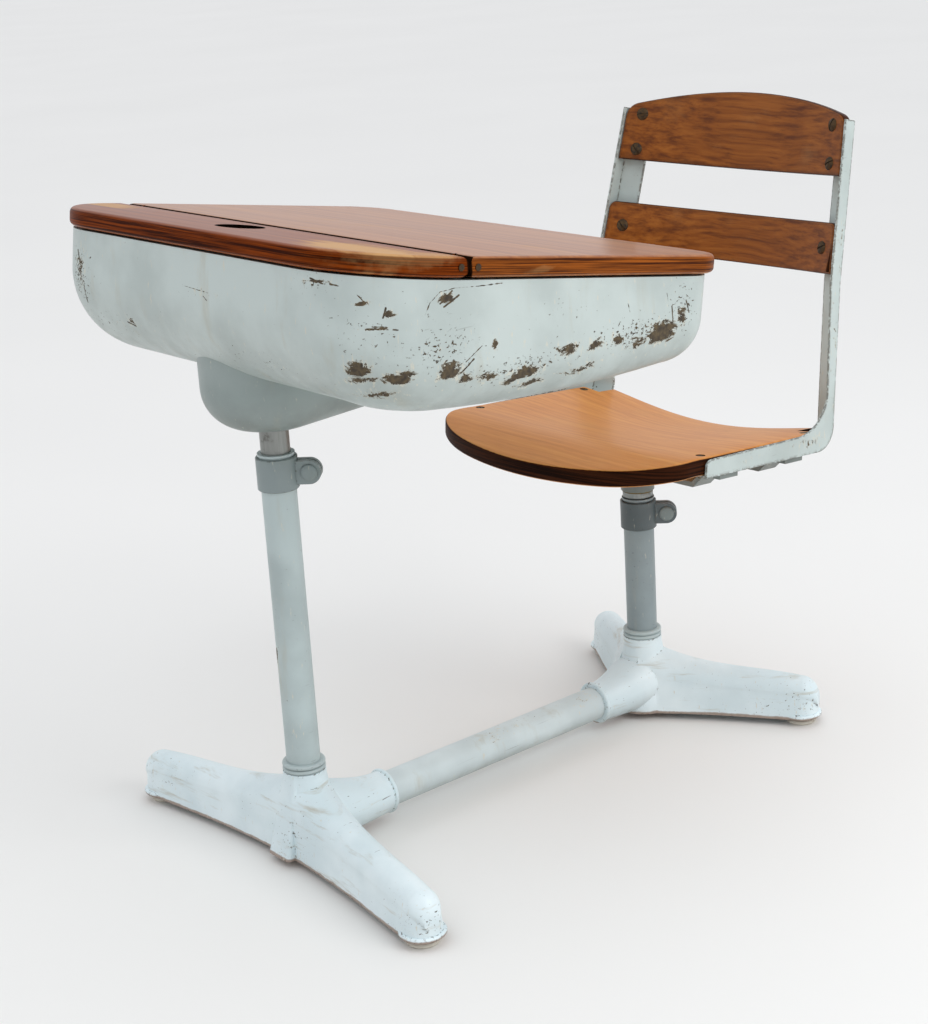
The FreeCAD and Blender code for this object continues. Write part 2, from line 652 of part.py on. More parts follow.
def stem_support(box_outer):
    housing_top = housing_ceiling(box_outer)
    outer = housing_form("housing_outer", 0)
    inner = housing_form("housing_inner", size("housing_wall"))
    bore = to_front(primitive("Cylinder", "housing_bore",
                              Radius="sizes.desk_stem_radius + 0.4", Height="60"),
                    "sizes.top_height - sizes.housing_drop - 30")
    node("pedestal_housing", cut("pedestal_housing", outer, inner, housing_top, bore))

    plate = to_box_floor(primitive("Box", "head_plate", None, Length="sizes.head_width",
                                   Width="sizes.head_length", Height="sizes.head_plate + 6"),
                         "-sizes.head_width / 2", "sizes.head_shift - sizes.head_length / 2",
                         "-sizes.head_plate")
    plate_placed = to_top(group("head_plate_placed", [plate]))
    low = "sizes.top_height - sizes.box_depth - sizes.head_boss_height - sizes.head_plate"
    boss = to_front(primitive("Cylinder", "head_boss", Radius="sizes.head_boss_radius",
                              Height="sizes.head_boss_height + sizes.head_plate + 20"), low)
    socket = to_front(primitive("Cylinder", "head_socket",
                                Radius="sizes.desk_stem_radius + sizes.sliding_gap",
                                Height="sizes.head_boss_height + 1"), low + " - 1")
    bolts, nuts, holes = [], [], []
    for index, (across, along) in enumerate(head_bolt_places()):
        holes.append(to_box_floor(primitive("Cylinder", "head_hole_%d" % index,
                                            Radius="sizes.bolt_radius + sizes.hole_gap", Height="40"),
                                  across, along, "-20"))
        rise = floor_rise(along)
        shank = to_box_floor(primitive("Cylinder", "head_shank_%d" % index, Radius="sizes.bolt_radius",
                                       Height="sizes.head_plate + sizes.box_wall + %s + 9" % rise),
                             across, along, "-sizes.head_plate - 8")
        cap = to_box_floor(dome("head_cap_%d" % index, size("bolt_head_radius")), across, along,
                           "sizes.box_wall + %s" % rise)
        bolts.append(fuse("head_bolt_%d" % index, shank, cap))
        nut = hexagon("head_nut_%d" % index, 5.5, 5.0, size("bolt_radius") + size("sliding_gap"))
        nuts.append(to_box_floor(nut, across, along, "-sizes.head_plate - 5"))
    holes_placed = to_top(group("head_holes_placed", holes))
    casting = fuse("head_casting", plate_placed, boss)
    node("stem_head", cut("stem_head", casting, housing_top, socket, holes_placed))
    node("head_bolts", to_top(group("head_bolts_all", bolts)))
    node("head_nuts", to_top(group("head_nuts_all", nuts)))

    top = "sizes.top_height - sizes.box_depth - sizes.head_plate"
    tube("desk_stem", "desk_stem_radius", "sizes.stem_wall",
         FRONT_TOP + " - sizes.desk_stem_below", top, to_front)


def turned(points):
    """Solid turned about the z axis from (radius, height) points."""
    corners = [Vector(radius, 0, height) for radius, height in points]
    return Part.Face(Part.makePolygon(corners + corners[:1])).revolve(Vector(), Vector(0, 0, 1), 360)


def head_height(radius):
    return radius * 0.42


def domed_head(radius):
    """Bolt head with its flat face at z = 0."""
    tall = head_height(radius)
    return turned(((0, 0), (radius, 0), (radius * 0.86, tall * 0.5), (radius * 0.5, tall * 0.88), (0, tall)))


def dome(name, radius):
    return made(name, domed_head(radius))


def hexagon(name, inradius, height, bore):
    corners = []
    for step in range(7):
        angle = math.radians(60 * step)
        corners.append(Vector(inradius / math.cos(math.radians(30)) * math.cos(angle),
                              inradius / math.cos(math.radians(30)) * math.sin(angle), 0))
    prism = Part.Face(Part.makePolygon(corners)).extrude(Vector(0, 0, height))
    return made(name, prism.cut(Part.makeCylinder(bore, height)))


def tube(name, radius_alias, wall, bottom, top, carrier):
    outer = carrier(primitive("Cylinder", name + "_outside", Radius="sizes." + radius_alias,
                              Height="(%s) - (%s)" % (top, bottom)), bottom)
    bore = carrier(primitive("Cylinder", name + "_inside", Radius="sizes.%s - %s" % (radius_alias, wall),
                             Height="(%s) - (%s) + 2" % (top, bottom)), "(%s) - 1" % bottom)
    return node(name, cut(name, outer, bore))


# ---------------------------------------------------------------- columns, clamps, ferrules
def column(name, top, stem_alias, carrier, turn):
    """Outer tube, slit at the top so that the clamp can grip the stem."""
    outer = carrier(primitive("Cylinder", name + "_outside", Radius=COLUMN,
                              Height=top + " - sizes.column_bottom"), "sizes.column_bottom")
    lip = carrier(primitive("Cylinder", name + "_lip", Radius=COLUMN + " + 1.2", Height="2.4"),
                  top + " - 2.4")
    bore = carrier(primitive("Cylinder", name + "_inside",
                             Radius="sizes.%s + sizes.sliding_gap" % stem_alias,
                             Height=top + " - sizes.column_bottom + 2"),
                   "sizes.column_bottom - 1")
    slit = carrier(made(name + "_slit", slit_box(size("column_slit"), turn)), top)
    return node(name, cut(name, fuse(name + "_blank", outer, lip), bore, slit))


def slit_box(depth, turn):
    width = size("clamp_gap")
    box = Part.makeBox(column_radius() + 4, width, depth + 1, Vector(0, -width / 2, -depth))
    box.rotate(Vector(), Vector(0, 0, 1), turn)
    return box


def clamp(prefix, top, carrier_y):
    """Split ring with two round ears, a round-headed bolt and a square nut."""
    inner = column_radius() + size("sliding_gap")
    outer = inner + size("clamp_wall")
    tall = size("clamp_height")
    gap = size("clamp_gap")
    ear = size("ear_thickness")
    reach = size("ear_reach")
    radius = size("ear_radius")
    middle = Vector(reach, 0, tall / 2)
    ring = Part.makeCylinder(outer, tall)
    ears = Part.makeBox(reach, gap + 2 * ear, 2 * radius, Vector(0, -gap / 2 - ear, tall / 2 - radius))
    ear_start = middle - Vector(0, gap / 2 + ear, 0)
    ears = ears.fuse(Part.makeCylinder(radius, gap + 2 * ear, ear_start, Vector(0, 1, 0)))
    body = ring.fuse(ears).removeSplitter()
    long_edges = [edge for edge in body.Edges
                  if edge.BoundBox.ZLength < 0.01 and edge.BoundBox.XMin < -outer + 0.1]
    body = body.makeChamfer(0.8, long_edges)
    body = body.cut(Part.makeCylinder(inner, tall))
    body = body.cut(Part.makeBox(reach + radius + 2, gap, tall + 2, Vector(0, -gap / 2, -1)))
    shank = size("clamp_bolt_radius")
    body = body.cut(Part.makeCylinder(shank + size("hole_gap"), gap + 2 * ear + 2,
                                      middle - Vector(0, gap / 2 + ear + 1, 0), Vector(0, 1, 0)))
    head = size("clamp_head_height")
    near = -gap / 2 - ear
    bolt = Part.makeCylinder(size("clamp_head_radius"), head, Vector(reach, near - head, tall / 2),
                             Vector(0, 1, 0))
    rim = [edge for edge in bolt.Edges if abs(edge.BoundBox.YMax - (near - head)) < 0.01]
    bolt = bolt.makeChamfer(1.2, rim)
    nut_height = 6.5
    bolt = bolt.fuse(Part.makeCylinder(shank, gap + 2 * ear + nut_height + 3,
                                       Vector(reach, near, tall / 2), Vector(0, 1, 0)))
    nut = Part.makeBox(14, nut_height, 14, Vector(reach - 7, -near, tall / 2 - 7))
    nut = nut.cut(Part.makeCylinder(shank + size("sliding_gap"), nut_height, Vector(reach, -near, tall / 2),
                                    Vector(0, 1, 0)))
    low = top + " - sizes.clamp_below_top - sizes.clamp_height"
    for name, shape in (("clamp", body), ("clamp_bolt", bolt), ("clamp_nut", nut)):
        item = made(prefix + name, shape)
        place(item, ("0", carrier_y, low), (0, 0, 1), "sizes.clamp_turn")
        node(prefix + name, item)


def ferrule(name, carrier):
    """Beaded collar that covers the joint of column and hub."""
    tall = size("ferrule_height")
    bead = size("ferrule_bead")
    inner = column_radius() + size("sliding_gap")
    middle, outer, chamfer = inner + bead, inner + 2 * bead, bead * 0.42
    profile = [(inner, 1.2), (outer - chamfer, 1.2), (outer, 1.2 + chamfer), (outer, 2 * bead - chamfer),
               (outer - chamfer, 2 * bead), (middle, 2 * bead), (middle, tall - 2 * bead),
               (outer - chamfer, tall - 2 * bead), (outer, tall - 2 * bead + chamfer),
               (outer, tall - chamfer), (outer - chamfer, tall), (inner, tall)]
    item = made(name, turned(profile))
    node(name, carrier(item, "sizes.hub_height - 1.2"))


# ---------------------------------------------------------------- base castings
def arch_section(at, direction, half, shoulder, top, bottom):
    """Upright section across a leg: flat foot, leaning sides and a round back."""
    across = Vector(-direction.y, direction.x, 0)
    upper = half * 0.86
    low_left = at + across * half + Vector(0, 0, bottom)
    low_right = at - across * half + Vector(0, 0, bottom)
    high_right = at - across * upper + Vector(0, 0, shoulder)
    high_left = at + across * upper + Vector(0, 0, shoulder)
    crown = at + Vector(0, 0, top)
    edges = [Part.LineSegment(low_left, low_right).toShape(),
             Part.LineSegment(low_right, high_right).toShape(),
             Part.Arc(high_right, crown, high_left).toShape(),
             Part.LineSegment(high_left, low_left).toShape()]
    return Part.Wire(edges)


# distance along the leg as a share of its length, half width, shoulder height, top height
LEG_STATIONS = ((0.00, 36.0, 72.0, 98.0), (0.18, 31.0, 57.0, 82.0), (0.42, 26.0, 47.0, 71.0),
                (0.72, 23.5, 43.0, 65.5), (1.00, 22.5, 38.0, 60.0))


def leg_sections(foot, thinner=0.0, first=0):
    """Sections of one leg, from the hub to the centre of its foot."""
    direction = Vector(foot.x, foot.y, 0)
    length = direction.Length
    direction.normalize()
    bottom = size("casting_clearance") - (1 if thinner else 0)
    wires = []
    for share, half, shoulder, top in LEG_STATIONS[first:]:
        wires.append(arch_section(direction * (length * share), direction, half - thinner,
                                  shoulder - thinner, top - thinner, bottom))
    return wires


def leg(foot, in_line):
    """Outer form of a leg with its round nose; legs nearly in line share one section at the hub."""
    wires = leg_sections(foot)
    if in_line:
        _, half, shoulder, top = LEG_STATIONS[0]
        wires[0] = arch_section(Vector(), Vector(math.copysign(1, foot.x), 0, 0), half, shoulder, top,
                                size("casting_clearance"))
    run = Part.makeLoft(wires, True, False)
    return run.fuse(nose(foot))


def nose(foot):
    """Round end of a leg: sections that shrink like a quarter circle beyond the foot's centre."""
    direction = Vector(foot.x, foot.y, 0)
    direction.normalize()
    _, half, shoulder, top = LEG_STATIONS[-1]
    wires = []
    for degrees in (0, 24, 44, 60, 72, 80):
        reach = half * math.sin(math.radians(degrees))
        slim = math.cos(math.radians(degrees))
        drop = (1 - slim) * half
        wires.append(arch_section(foot + direction * reach, direction, half * slim, shoulder - drop * 0.9,
                                  top - drop * 1.1, size("casting_clearance")))
    return Part.makeLoft(wires, True, False)


def foot_rim(foot):
    """Rolled rim round the bottom of a foot."""
    half = LEG_STATIONS[-1][1]
    rim = Part.makeCylinder(half + 3.2, 5.6, foot + Vector(0, 0, size("casting_clearance")))
    return rim.makeChamfer(1.7, [edge for edge in rim.Edges if edge.BoundBox.ZLength < 0.01])


def leg_hollow(foot):
    """Space under a leg, open to the floor; metal stays round the glide's stud."""
    hollow = Part.makeLoft(leg_sections(foot, size("leg_wall"), 1), True, False)
    return hollow.cut(Part.makeCylinder(11.0, 200, Vector(foot.x, foot.y, -10)))


def hub_core():
    """Flared body of revolution under the column."""
    bottom = size("casting_clearance")
    top = size("hub_height")
    points = [Vector(24.2, 0, top), Vector(24.6, 0, top - 8), Vector(27.5, 0, top - 24),
              Vector(33.0, 0, top - 48), Vector(38.5, 0, bottom + 22), Vector(40.0, 0, bottom)]
    curve = Part.BSplineCurve()
    curve.interpolate(points)
    profile = Part.Wire([Part.LineSegment(Vector(0, 0, bottom), points[-1]).toShape(),
                         curve.toShape(),
                         Part.LineSegment(points[0], Vector(0, 0, top)).toShape(),
                         Part.LineSegment(Vector(0, 0, top), Vector(0, 0, bottom)).toShape()])
    return Part.Face(profile).revolve(Vector(), Vector(0, 0, 1), 360)


def socket_arm(reach, sense):
    """Arm from the hub that closes down to the round mouth of the beam socket."""
    axis = size("beam_height")
    mouth = size("beam_radius") + size("socket_wall")
    bottom = size("casting_clearance")
    sections = []
    for share, extra in ((0.0, 13.0), (0.45, 6.5), (0.75, 1.4), (1.0, 0.0)):
        radius = mouth + extra
        centre = Vector(0, sense * reach * share, max(axis, bottom + radius))
        sections.append(Part.Wire(Part.makeCircle(radius, centre, Vector(0, 1, 0))))
    arm = Part.makeLoft(sections, True, False)
    bead = Part.makeTorus(mouth - 0.6, 2.6, Vector(0, sense * (reach - 2.6), axis), Vector(0, 1, 0))
    return arm.fuse(bead)


def base_casting(name, feet, reach, sense, in_line, carrier):
    solid = hub_core()
    pieces = [leg(foot, in_line) for foot in feet] + [socket_arm(reach, sense)]
    pieces += [foot_rim(foot) for foot in feet]
    if in_line:
        pieces.append(front_panel())
    for piece in pieces:
        solid = solid.fuse(piece)
    solid = solid.removeSplitter()
    for foot in feet:
        solid = solid.cut(leg_hollow(foot))
    bore = column_radius() + size("sliding_gap")
    solid = solid.cut(Part.makeCylinder(bore, 200, Vector(0, 0, size("column_bottom"))))
    inner_end = reach - size("socket_depth")
    socket = Part.makeCylinder(size("beam_radius") + size("sliding_gap"), reach - inner_end + 10,
                               Vector(0, sense * inner_end, size("beam_height")), Vector(0, sense, 0))
    solid = solid.cut(socket)
    for foot in feet:
        solid = solid.cut(Part.makeCylinder(size("glide_stem") + size("sliding_gap"), size("glide_stud") + 1,
                                            Vector(foot.x, foot.y, 0)))
    node(name, carrier(made(name, solid)))


def front_panel():
    """Flat upright panel on the front of the hub, tapering up to the ferrule."""
    bottom = size("casting_clearance")
    top = size("hub_height") - 3
    lower = Part.makePolygon([Vector(-20, 0, bottom), Vector(-20, -46, bottom), Vector(20, -46, bottom),
                              Vector(20, 0, bottom), Vector(-20, 0, bottom)])
    upper = Part.makePolygon([Vector(-13, 0, top), Vector(-13, -22.5, top), Vector(13, -22.5, top),
                              Vector(13, 0, top), Vector(-13, 0, top)])
    panel = Part.makeLoft([lower, upper], True, True)
    corners = [edge for edge in panel.Edges
               if edge.BoundBox.YMax < -20 and edge.BoundBox.ZLength > 50]
    return panel.makeFillet(5.0, corners)


def glide(name, foot, carrier):
    """Turned steel floor disc with a rounded edge and a stud into the foot."""
    radius = size("glide_radius")
    tall = size("glide_height")
    disc = Part.makeCylinder(radius, tall)
    disc = disc.makeChamfer(1.6, [edge for edge in disc.Edges if edge.BoundBox.ZLength < 0.01])
    neck = Part.makeCylinder(8.0, size("casting_clearance") - tall, Vector(0, 0, tall))
    stud = Part.makeCylinder(size("glide_stem"), size("glide_stud") - tall + 0.5, Vector(0, 0, tall - 0.5))
    shape = disc.fuse(neck).fuse(stud).removeSplitter()
    shape.translate(foot)
    node(name, carrier(made(name, shape)))


def base():
    front_feet = [Vector(side * size("front_foot_x"), size("front_foot_y"), 0) for side in (1, -1)]
    rear_feet = [Vector(side * size("rear_foot_x"), size("rear_foot_y"), 0) for side in (1, -1)]
    base_casting("front_base", front_feet, size("socket_reach"), 1, True, to_front)
    base_casting("rear_base", rear_feet, size("rear_socket_reach"), -1, False, to_rear)
    start = size("front_column_y") + size("socket_reach") - size("socket_depth")
    stop = size("front_column_y") + size("column_spacing") - size("rear_socket_reach") + size("socket_depth")
    beam_at = Vector(0, start, size("beam_height"))
    along = Vector(0, 1, 0)
    beam = Part.makeCylinder(size("beam_radius"), stop - start, beam_at, along)
    beam = beam.cut(Part.makeCylinder(size("beam_radius") - size("beam_wall"), stop - start, beam_at, along))
    node("beam_tube", made("beam_tube", beam))
    for tag, index in (("left", 0), ("right", 1)):
        glide("glide_front_" + tag, front_feet[index], to_front)
        glide("glide_rear_" + tag, rear_feet[index], to_rear)
    column("front_column", FRONT_TOP, "desk_stem_radius", to_front, size("clamp_turn"))
    column("seat_column", SEAT_TOP, "seat_stem_radius", to_rear, size("clamp_turn"))
    clamp("front_", FRONT_TOP, "sizes.front_column_y")
    clamp("seat_", SEAT_TOP, "sizes.front_column_y + sizes.column_spacing")
    ferrule("front_ferrule", to_front)
    ferrule("seat_ferrule", to_rear)


# ---------------------------------------------------------------- seat post and swivel
def seat_post():
    top = "sizes.swivel_height + 34"
    tube("seat_stem", "seat_stem_radius", "sizes.stem_wall",
         "sizes.seat_column_top - sizes.seat_stem_below", top, to_rear)
    washer_low = "sizes.swivel_height - sizes.thrust_washer"
    for name, low, high in (("thrust_collar", washer_low + " - sizes.thrust_collar", "sizes.thrust_collar"),
                            ("thrust_washer", washer_low, "sizes.thrust_washer")):
        ring = to_rear(primitive("Cylinder", name + "_outside",
                                 Radius="sizes.thrust_radius", Height=high), low)
        bore = to_rear(primitive("Cylinder", name + "_inside",
                                 Radius="sizes.seat_stem_radius + sizes.sliding_gap", Height=high), low)
        node(name, cut(name, ring, bore))


# ---------------------------------------------------------------- seat board and bracket
def hollow_curve(along, level, half, edge, dip):
    """Smooth line across the seat: level near the sides, lower by the dip in the middle."""
    points = []
    for step in range(41):
        across = half * (step / 20.0 - 1.0)
        inside = max(0.0, 1.0 - (across / edge) ** 2)
        points.append(Vector(across, along, level - dip * inside ** 1.5))
    curve = Part.BSplineCurve()
    curve.interpolate(points)
    return curve.toShape()


def seat_section(along, half):
    """Section of the seat board across the seat: level sides, hollow middle, falling towards the front."""
    thick = size("seat_thickness")
    ahead = max(0.0, (-along - size("seat_shoulder")) / (size("seat_front") - size("seat_shoulder")))
    level = -size("seat_roll") * ahead ** 1.5
    share = max(0.0, (along + size("seat_shoulder") + 25) / (size("seat_rear") + size("seat_shoulder") + 25))
    return Part.Wire([
        hollow_curve(along, level, half, size("seat_land"), size("seat_under_dip") * share),
        Part.LineSegment(Vector(half, along, level), Vector(half, along, level + thick)).toShape(),
        hollow_curve(along, level + thick, half, size("seat_half_width"), size("seat_dip") * share),
        Part.LineSegment(Vector(-half, along, level + thick), Vector(-half, along, level)).toShape()])


def seat_plan():
    """Plan of the seat: half an ellipse in front, straight sides, and a rear edge with round corners."""
    half = size("seat_half_width")
    shoulder = -size("seat_shoulder")
    front = -size("seat_front")
    rear = size("seat_rear")
    corner = 14.0
    low = -60.0
    long_axis = max(half, shoulder - front)
    ellipse = Part.Ellipse(Vector(0, shoulder, low), long_axis, shoulder - front)
    nose = Part.ArcOfEllipse(ellipse, math.pi, 2 * math.pi).toShape()
    turn = corner * math.sqrt(0.5)
    return Part.Wire([
        nose,
        Part.LineSegment(Vector(half, shoulder, low), Vector(half, rear - corner, low)).toShape(),
        Part.Arc(Vector(half, rear - corner, low), Vector(half - corner + turn, rear - corner + turn, low),
                 Vector(half - corner, rear, low)).toShape(),
        Part.LineSegment(Vector(half - corner, rear, low), Vector(-half + corner, rear, low)).toShape(),
        Part.Arc(Vector(-half + corner, rear, low), Vector(-half + corner - turn, rear - corner + turn, low),
                 Vector(-half, rear - corner, low)).toShape(),
        Part.LineSegment(Vector(-half, rear - corner, low), Vector(-half, shoulder, low)).toShape()])


def seat_screw_places():
    across = size("frame_half_width") - size("frame_web") / 2 - 1
    return [(side * across, along) for side in (1, -1)
            for along in (-size("frame_front") + 8, size("seat_notch") - 10)]


def seat_board():
    wide = size("seat_half_width") + 20
    front, rear = size("seat_front"), size("seat_rear")
    start, reach = -front - 10, front + rear + 16
    stations = [start + reach * step / 12 for step in range(13)]
    blank = Part.makeLoft([seat_section(along, wide) for along in stations], True, False)
    prism = Part.Face(seat_plan()).extrude(Vector(0, 0, 120))
    board = blank.common(prism)
    rim = [edge for edge in board.Edges if edge.BoundBox.ZLength < 21.5 and not is_upright(edge)
           and on_plan_rim(edge)]
    board = board.makeFillet(4.0, rim)
    tongue = size("seat_tongue")
    for start in (tongue, -tongue - 60):
        board = board.cut(Part.makeBox(60, 60, 120, Vector(start, size("seat_notch"), -60)))
    for across, along in seat_screw_places():
        hole = Part.makeCylinder(size("screw_radius") + size("hole_gap"), 60, Vector(across, along, -20))
        sink = Part.makeCylinder(size("screw_head_radius") + size("hole_gap"), 40,
                                 Vector(across, along, size("seat_thickness") - 3.2))
        board = board.cut(hole).cut(sink)
    seat_node("seat_board", to_seat(made("seat_board", board)))
    screws = []
    for index, (across, along) in enumerate(seat_screw_places()):
        level = size("seat_thickness") - 3.2
        head = Part.makeCone(size("screw_head_radius") - 0.4, size("screw_head_radius"), 2.6,
                             Vector(across, along, level))
        shank = Part.makeCylinder(size("screw_radius"), level + 6.0, Vector(across, along, -6.0))
        screws.append(made("seat_screw_%d" % index, head.fuse(shank)))
    seat_node("seat_screws", to_seat(group("seat_screws_all", screws)))


def on_plan_rim(edge):
    """True for the edges where the board's faces meet its outer side."""
    half = size("seat_half_width")
    shoulder = -size("seat_shoulder")
    for share in (0.25, 0.5, 0.75):
        point = edge.valueAt(edge.FirstParameter + share * (edge.LastParameter - edge.FirstParameter))
        if point.y < shoulder:
            nose = size("seat_front") - size("seat_shoulder")
            off = (point.x / half) ** 2 + ((point.y - shoulder) / nose) ** 2
            if abs(off - 1) > 0.003:
                return False
        elif abs(abs(point.x) - half) > 0.05 and abs(point.y - size("seat_rear")) > 0.05:
            corner = 14.0
            dx = abs(point.x) - (half - corner)
            dy = point.y - (size("seat_rear") - corner)
            if dx < 0 or dy < 0 or abs(math.hypot(dx, dy) - corner) > 0.05:
                return False
    return True


def seat_bracket():
    """Swivel hub with a plate and two cranked cross bars that carry the side frames."""
    steel = size("bracket_steel")
    drop = size("bracket_drop")
    under = -size("frame_steel")
    outer = size("frame_half_width") - 3
    inner = outer - size("frame_web") + 6
    step = inner - drop
    bars = []
    for along in (size("front_bar_y"), size("rear_bar_y")):
        start = along - size("bracket_bar") / 2
        profile = [(-outer, under), (-inner, under), (-step, under - drop), (step, under - drop),
                   (inner, under), (outer, under), (outer, under - steel), (inner + 2, under - steel),
                   (step + 2, under - drop - steel), (-step - 2, under - drop - steel),
                   (-inner - 2, under - steel), (-outer, under - steel)]
        corners = [Vector(across, start, level) for across, level in profile]
        face = Part.Face(Part.makePolygon(corners + corners[:1]))
        bars.append(face.extrude(Vector(0, size("bracket_bar"), 0)))
    span = size("rear_bar_y") - size("front_bar_y")
    plate = Part.makeBox(84, span, steel, Vector(-42, size("front_bar_y"), under - drop - steel))
    frame = bars[0].fuse(bars[1]).fuse(plate)
    holes = []
    for across, along in rivet_places():
        hole = Part.makeCylinder(size("rivet_radius") + size("hole_gap"), 30, Vector(across, along, -20))
        frame = frame.cut(hole)
        shank = Part.makeCylinder(size("rivet_radius"), size("frame_steel") + steel + 0.5,
                                  Vector(across, along, under - steel - 0.5))
        cap = Part.makeSphere(7.5, Vector(across, along, under - steel + 4.0))
        cap = cap.common(Part.makeCylinder(8, 4, Vector(across, along, under - steel - 4.0)))
        holes.append(made("frame_rivet_%d" % len(holes), shank.fuse(cap)))
    tilt = Placement(Vector(0, 0, size("seat_height")), Rotation(Vector(1, 0, 0), -size("seat_slope")))
    frame.Placement = tilt
    low = size("swivel_height")
    hub_top = size("seat_height") + under - drop - steel + 2.0
    hub = Part.makeCylinder(size("hub_radius"), hub_top - low, Vector(0, 0, low))
    flare = Part.makeCone(size("hub_radius"), 38.0, 14.0, Vector(0, 0, hub_top - 14.0))
    cover = Part.makeBox(300, 300, 60, Vector(-150, -150, under - drop))
    cover.Placement = tilt
    hub = hub.fuse(flare).cut(cover).fuse(frame)
    bore = Part.makeCylinder(size("seat_stem_radius") + size("swivel_gap"), 36.0, Vector(0, 0, low - 1))
    seat_node("seat_bracket", to_rear(made("seat_bracket", hub.cut(bore).removeSplitter())))
    seat_node("frame_rivets", to_seat(group("frame_rivets_all", holes)))


def rivet_places():
    across = size("frame_half_width") - size("frame_web") / 2
    return [(side * across, along) for side in (1, -1)
            for along in (size("front_bar_y"), size("rear_bar_y"))]


# ---------------------------------------------------------------- side frames and back
def seat_axes():
    """Along the seat towards the back, and square to it upwards."""
    slope = math.radians(size("seat_slope"))
    return Vector(0, math.cos(slope), -math.sin(slope)), Vector(0, math.sin(slope), math.cos(slope))


def frame_width_at(height):
    """Half the distance between the outer faces of the side frames at a height."""
    knee = size("seat_height") + size("frame_knee")
    return size("frame_half_width") - size("frame_toe_in") * max(0.0, height - knee)


def back_axes():
    """Up along the leaning back, and square to it towards the rear."""
    lean = math.radians(size("back_lean"))
    return Vector(0, math.sin(lean), math.cos(lean)), Vector(0, math.cos(lean), -math.sin(lean))


def web_slope():
    """Angle between a side frame's rear flange and the sideways direction."""
    return math.asin(size("slat_contact") / size("slat_radius"))


def back_point_at(along, behind_by=0.0):
    """Point of the slat plane (where a slat touches the frame), along the lean."""
    up_back, behind = back_axes()
    return Vector(0, size("back_y"), size("back_z")) + up_back * along + behind * behind_by


def back_corner(along):
    """Rear outer corner of a side frame's upright, along the lean; x is left to frame_width_at."""
    height = back_point_at(along).z
    outwards = frame_width_at(height) - size("slat_contact")
    offset = -outwards * math.tan(web_slope()) + size("frame_steel") / math.cos(web_slope())
    return back_point_at(along, offset)


def strip_section(corner, width_way, width, thick_way):
    steel = size("frame_steel")
    points = [corner, corner + width_way * width, corner + width_way * width + thick_way * steel,
              corner + thick_way * steel]
    return Part.makePolygon(points + points[:1])


def foot_axes():
    """Up along the uprights below the knee, and square to it towards the rear."""
    lean = math.radians(size("frame_foot_lean"))
    return Vector(0, math.sin(lean), math.cos(lean)), Vector(0, math.cos(lean), -math.sin(lean))


def frame_knee():
    """Rear outer corner of the uprights at the knee."""
    return Vector(0, size("frame_knee_y"), size("seat_height") + size("frame_knee"))


def frame_corner():
    """Start of the seat line, and the lower outer corner where it would meet the upright."""
    along_seat, seat_up = seat_axes()
    behind = foot_axes()[1]
    seat_point = Vector(0, 0, size("seat_height")) - seat_up * size("frame_steel")
    travel = (frame_knee() - seat_point).dot(behind) / along_seat.dot(behind)
    return seat_point, seat_point + along_seat * travel


def side_plate(width, seat_point, bend_start, bend_mid, bend_end, knee):
    """Outer cheek: beside the seat, widening into the bend, and up to the knee of the upright."""
    along_seat, seat_up = seat_axes()
    behind = foot_axes()[1]
    outward = (bend_mid - (bend_start + seat_up * size("frame_bend"))).normalize()
    front = seat_point - along_seat * size("frame_front")
    before = bend_start - along_seat * size("frame_knee") * 0.7
    crest = before + seat_up * size("frame_depth_rear")
    inner_mid = bend_mid - outward * size("frame_depth_bend")
    top_front = knee - behind * size("frame_depth_low")
    corner = 9.0
    front_top = front + seat_up * size("frame_depth_front")
    turn = corner * (1 - math.sqrt(0.5))
    # the cheek's outer line lies within the thickness of the flange that it joins
    lap = size("frame_steel") * 0.4
    front, bend_start = front + seat_up * lap, bend_start + seat_up * lap
    bend_mid, bend_end, knee = bend_mid - outward * lap, bend_end - behind * lap, knee - behind * lap
    edges = [Part.LineSegment(front, bend_start), Part.Arc(bend_start, bend_mid, bend_end),
             Part.LineSegment(bend_end, knee), Part.LineSegment(knee, top_front),
             Part.Arc(top_front, inner_mid, crest),
             Part.LineSegment(crest, front_top + along_seat * corner),
             Part.Arc(front_top + along_seat * corner, front_top + along_seat * turn - seat_up * turn,
                      front_top - seat_up * corner),
             Part.LineSegment(front_top - seat_up * corner, front)]
    outline_wire = Part.Wire([edge.toShape() for edge in edges])
    plate = Part.Face(outline_wire).extrude(Vector(size("frame_steel"), 0, 0))
    plate.translate(Vector(width - size("frame_steel") - 0.1, 0, 0))
    return plate


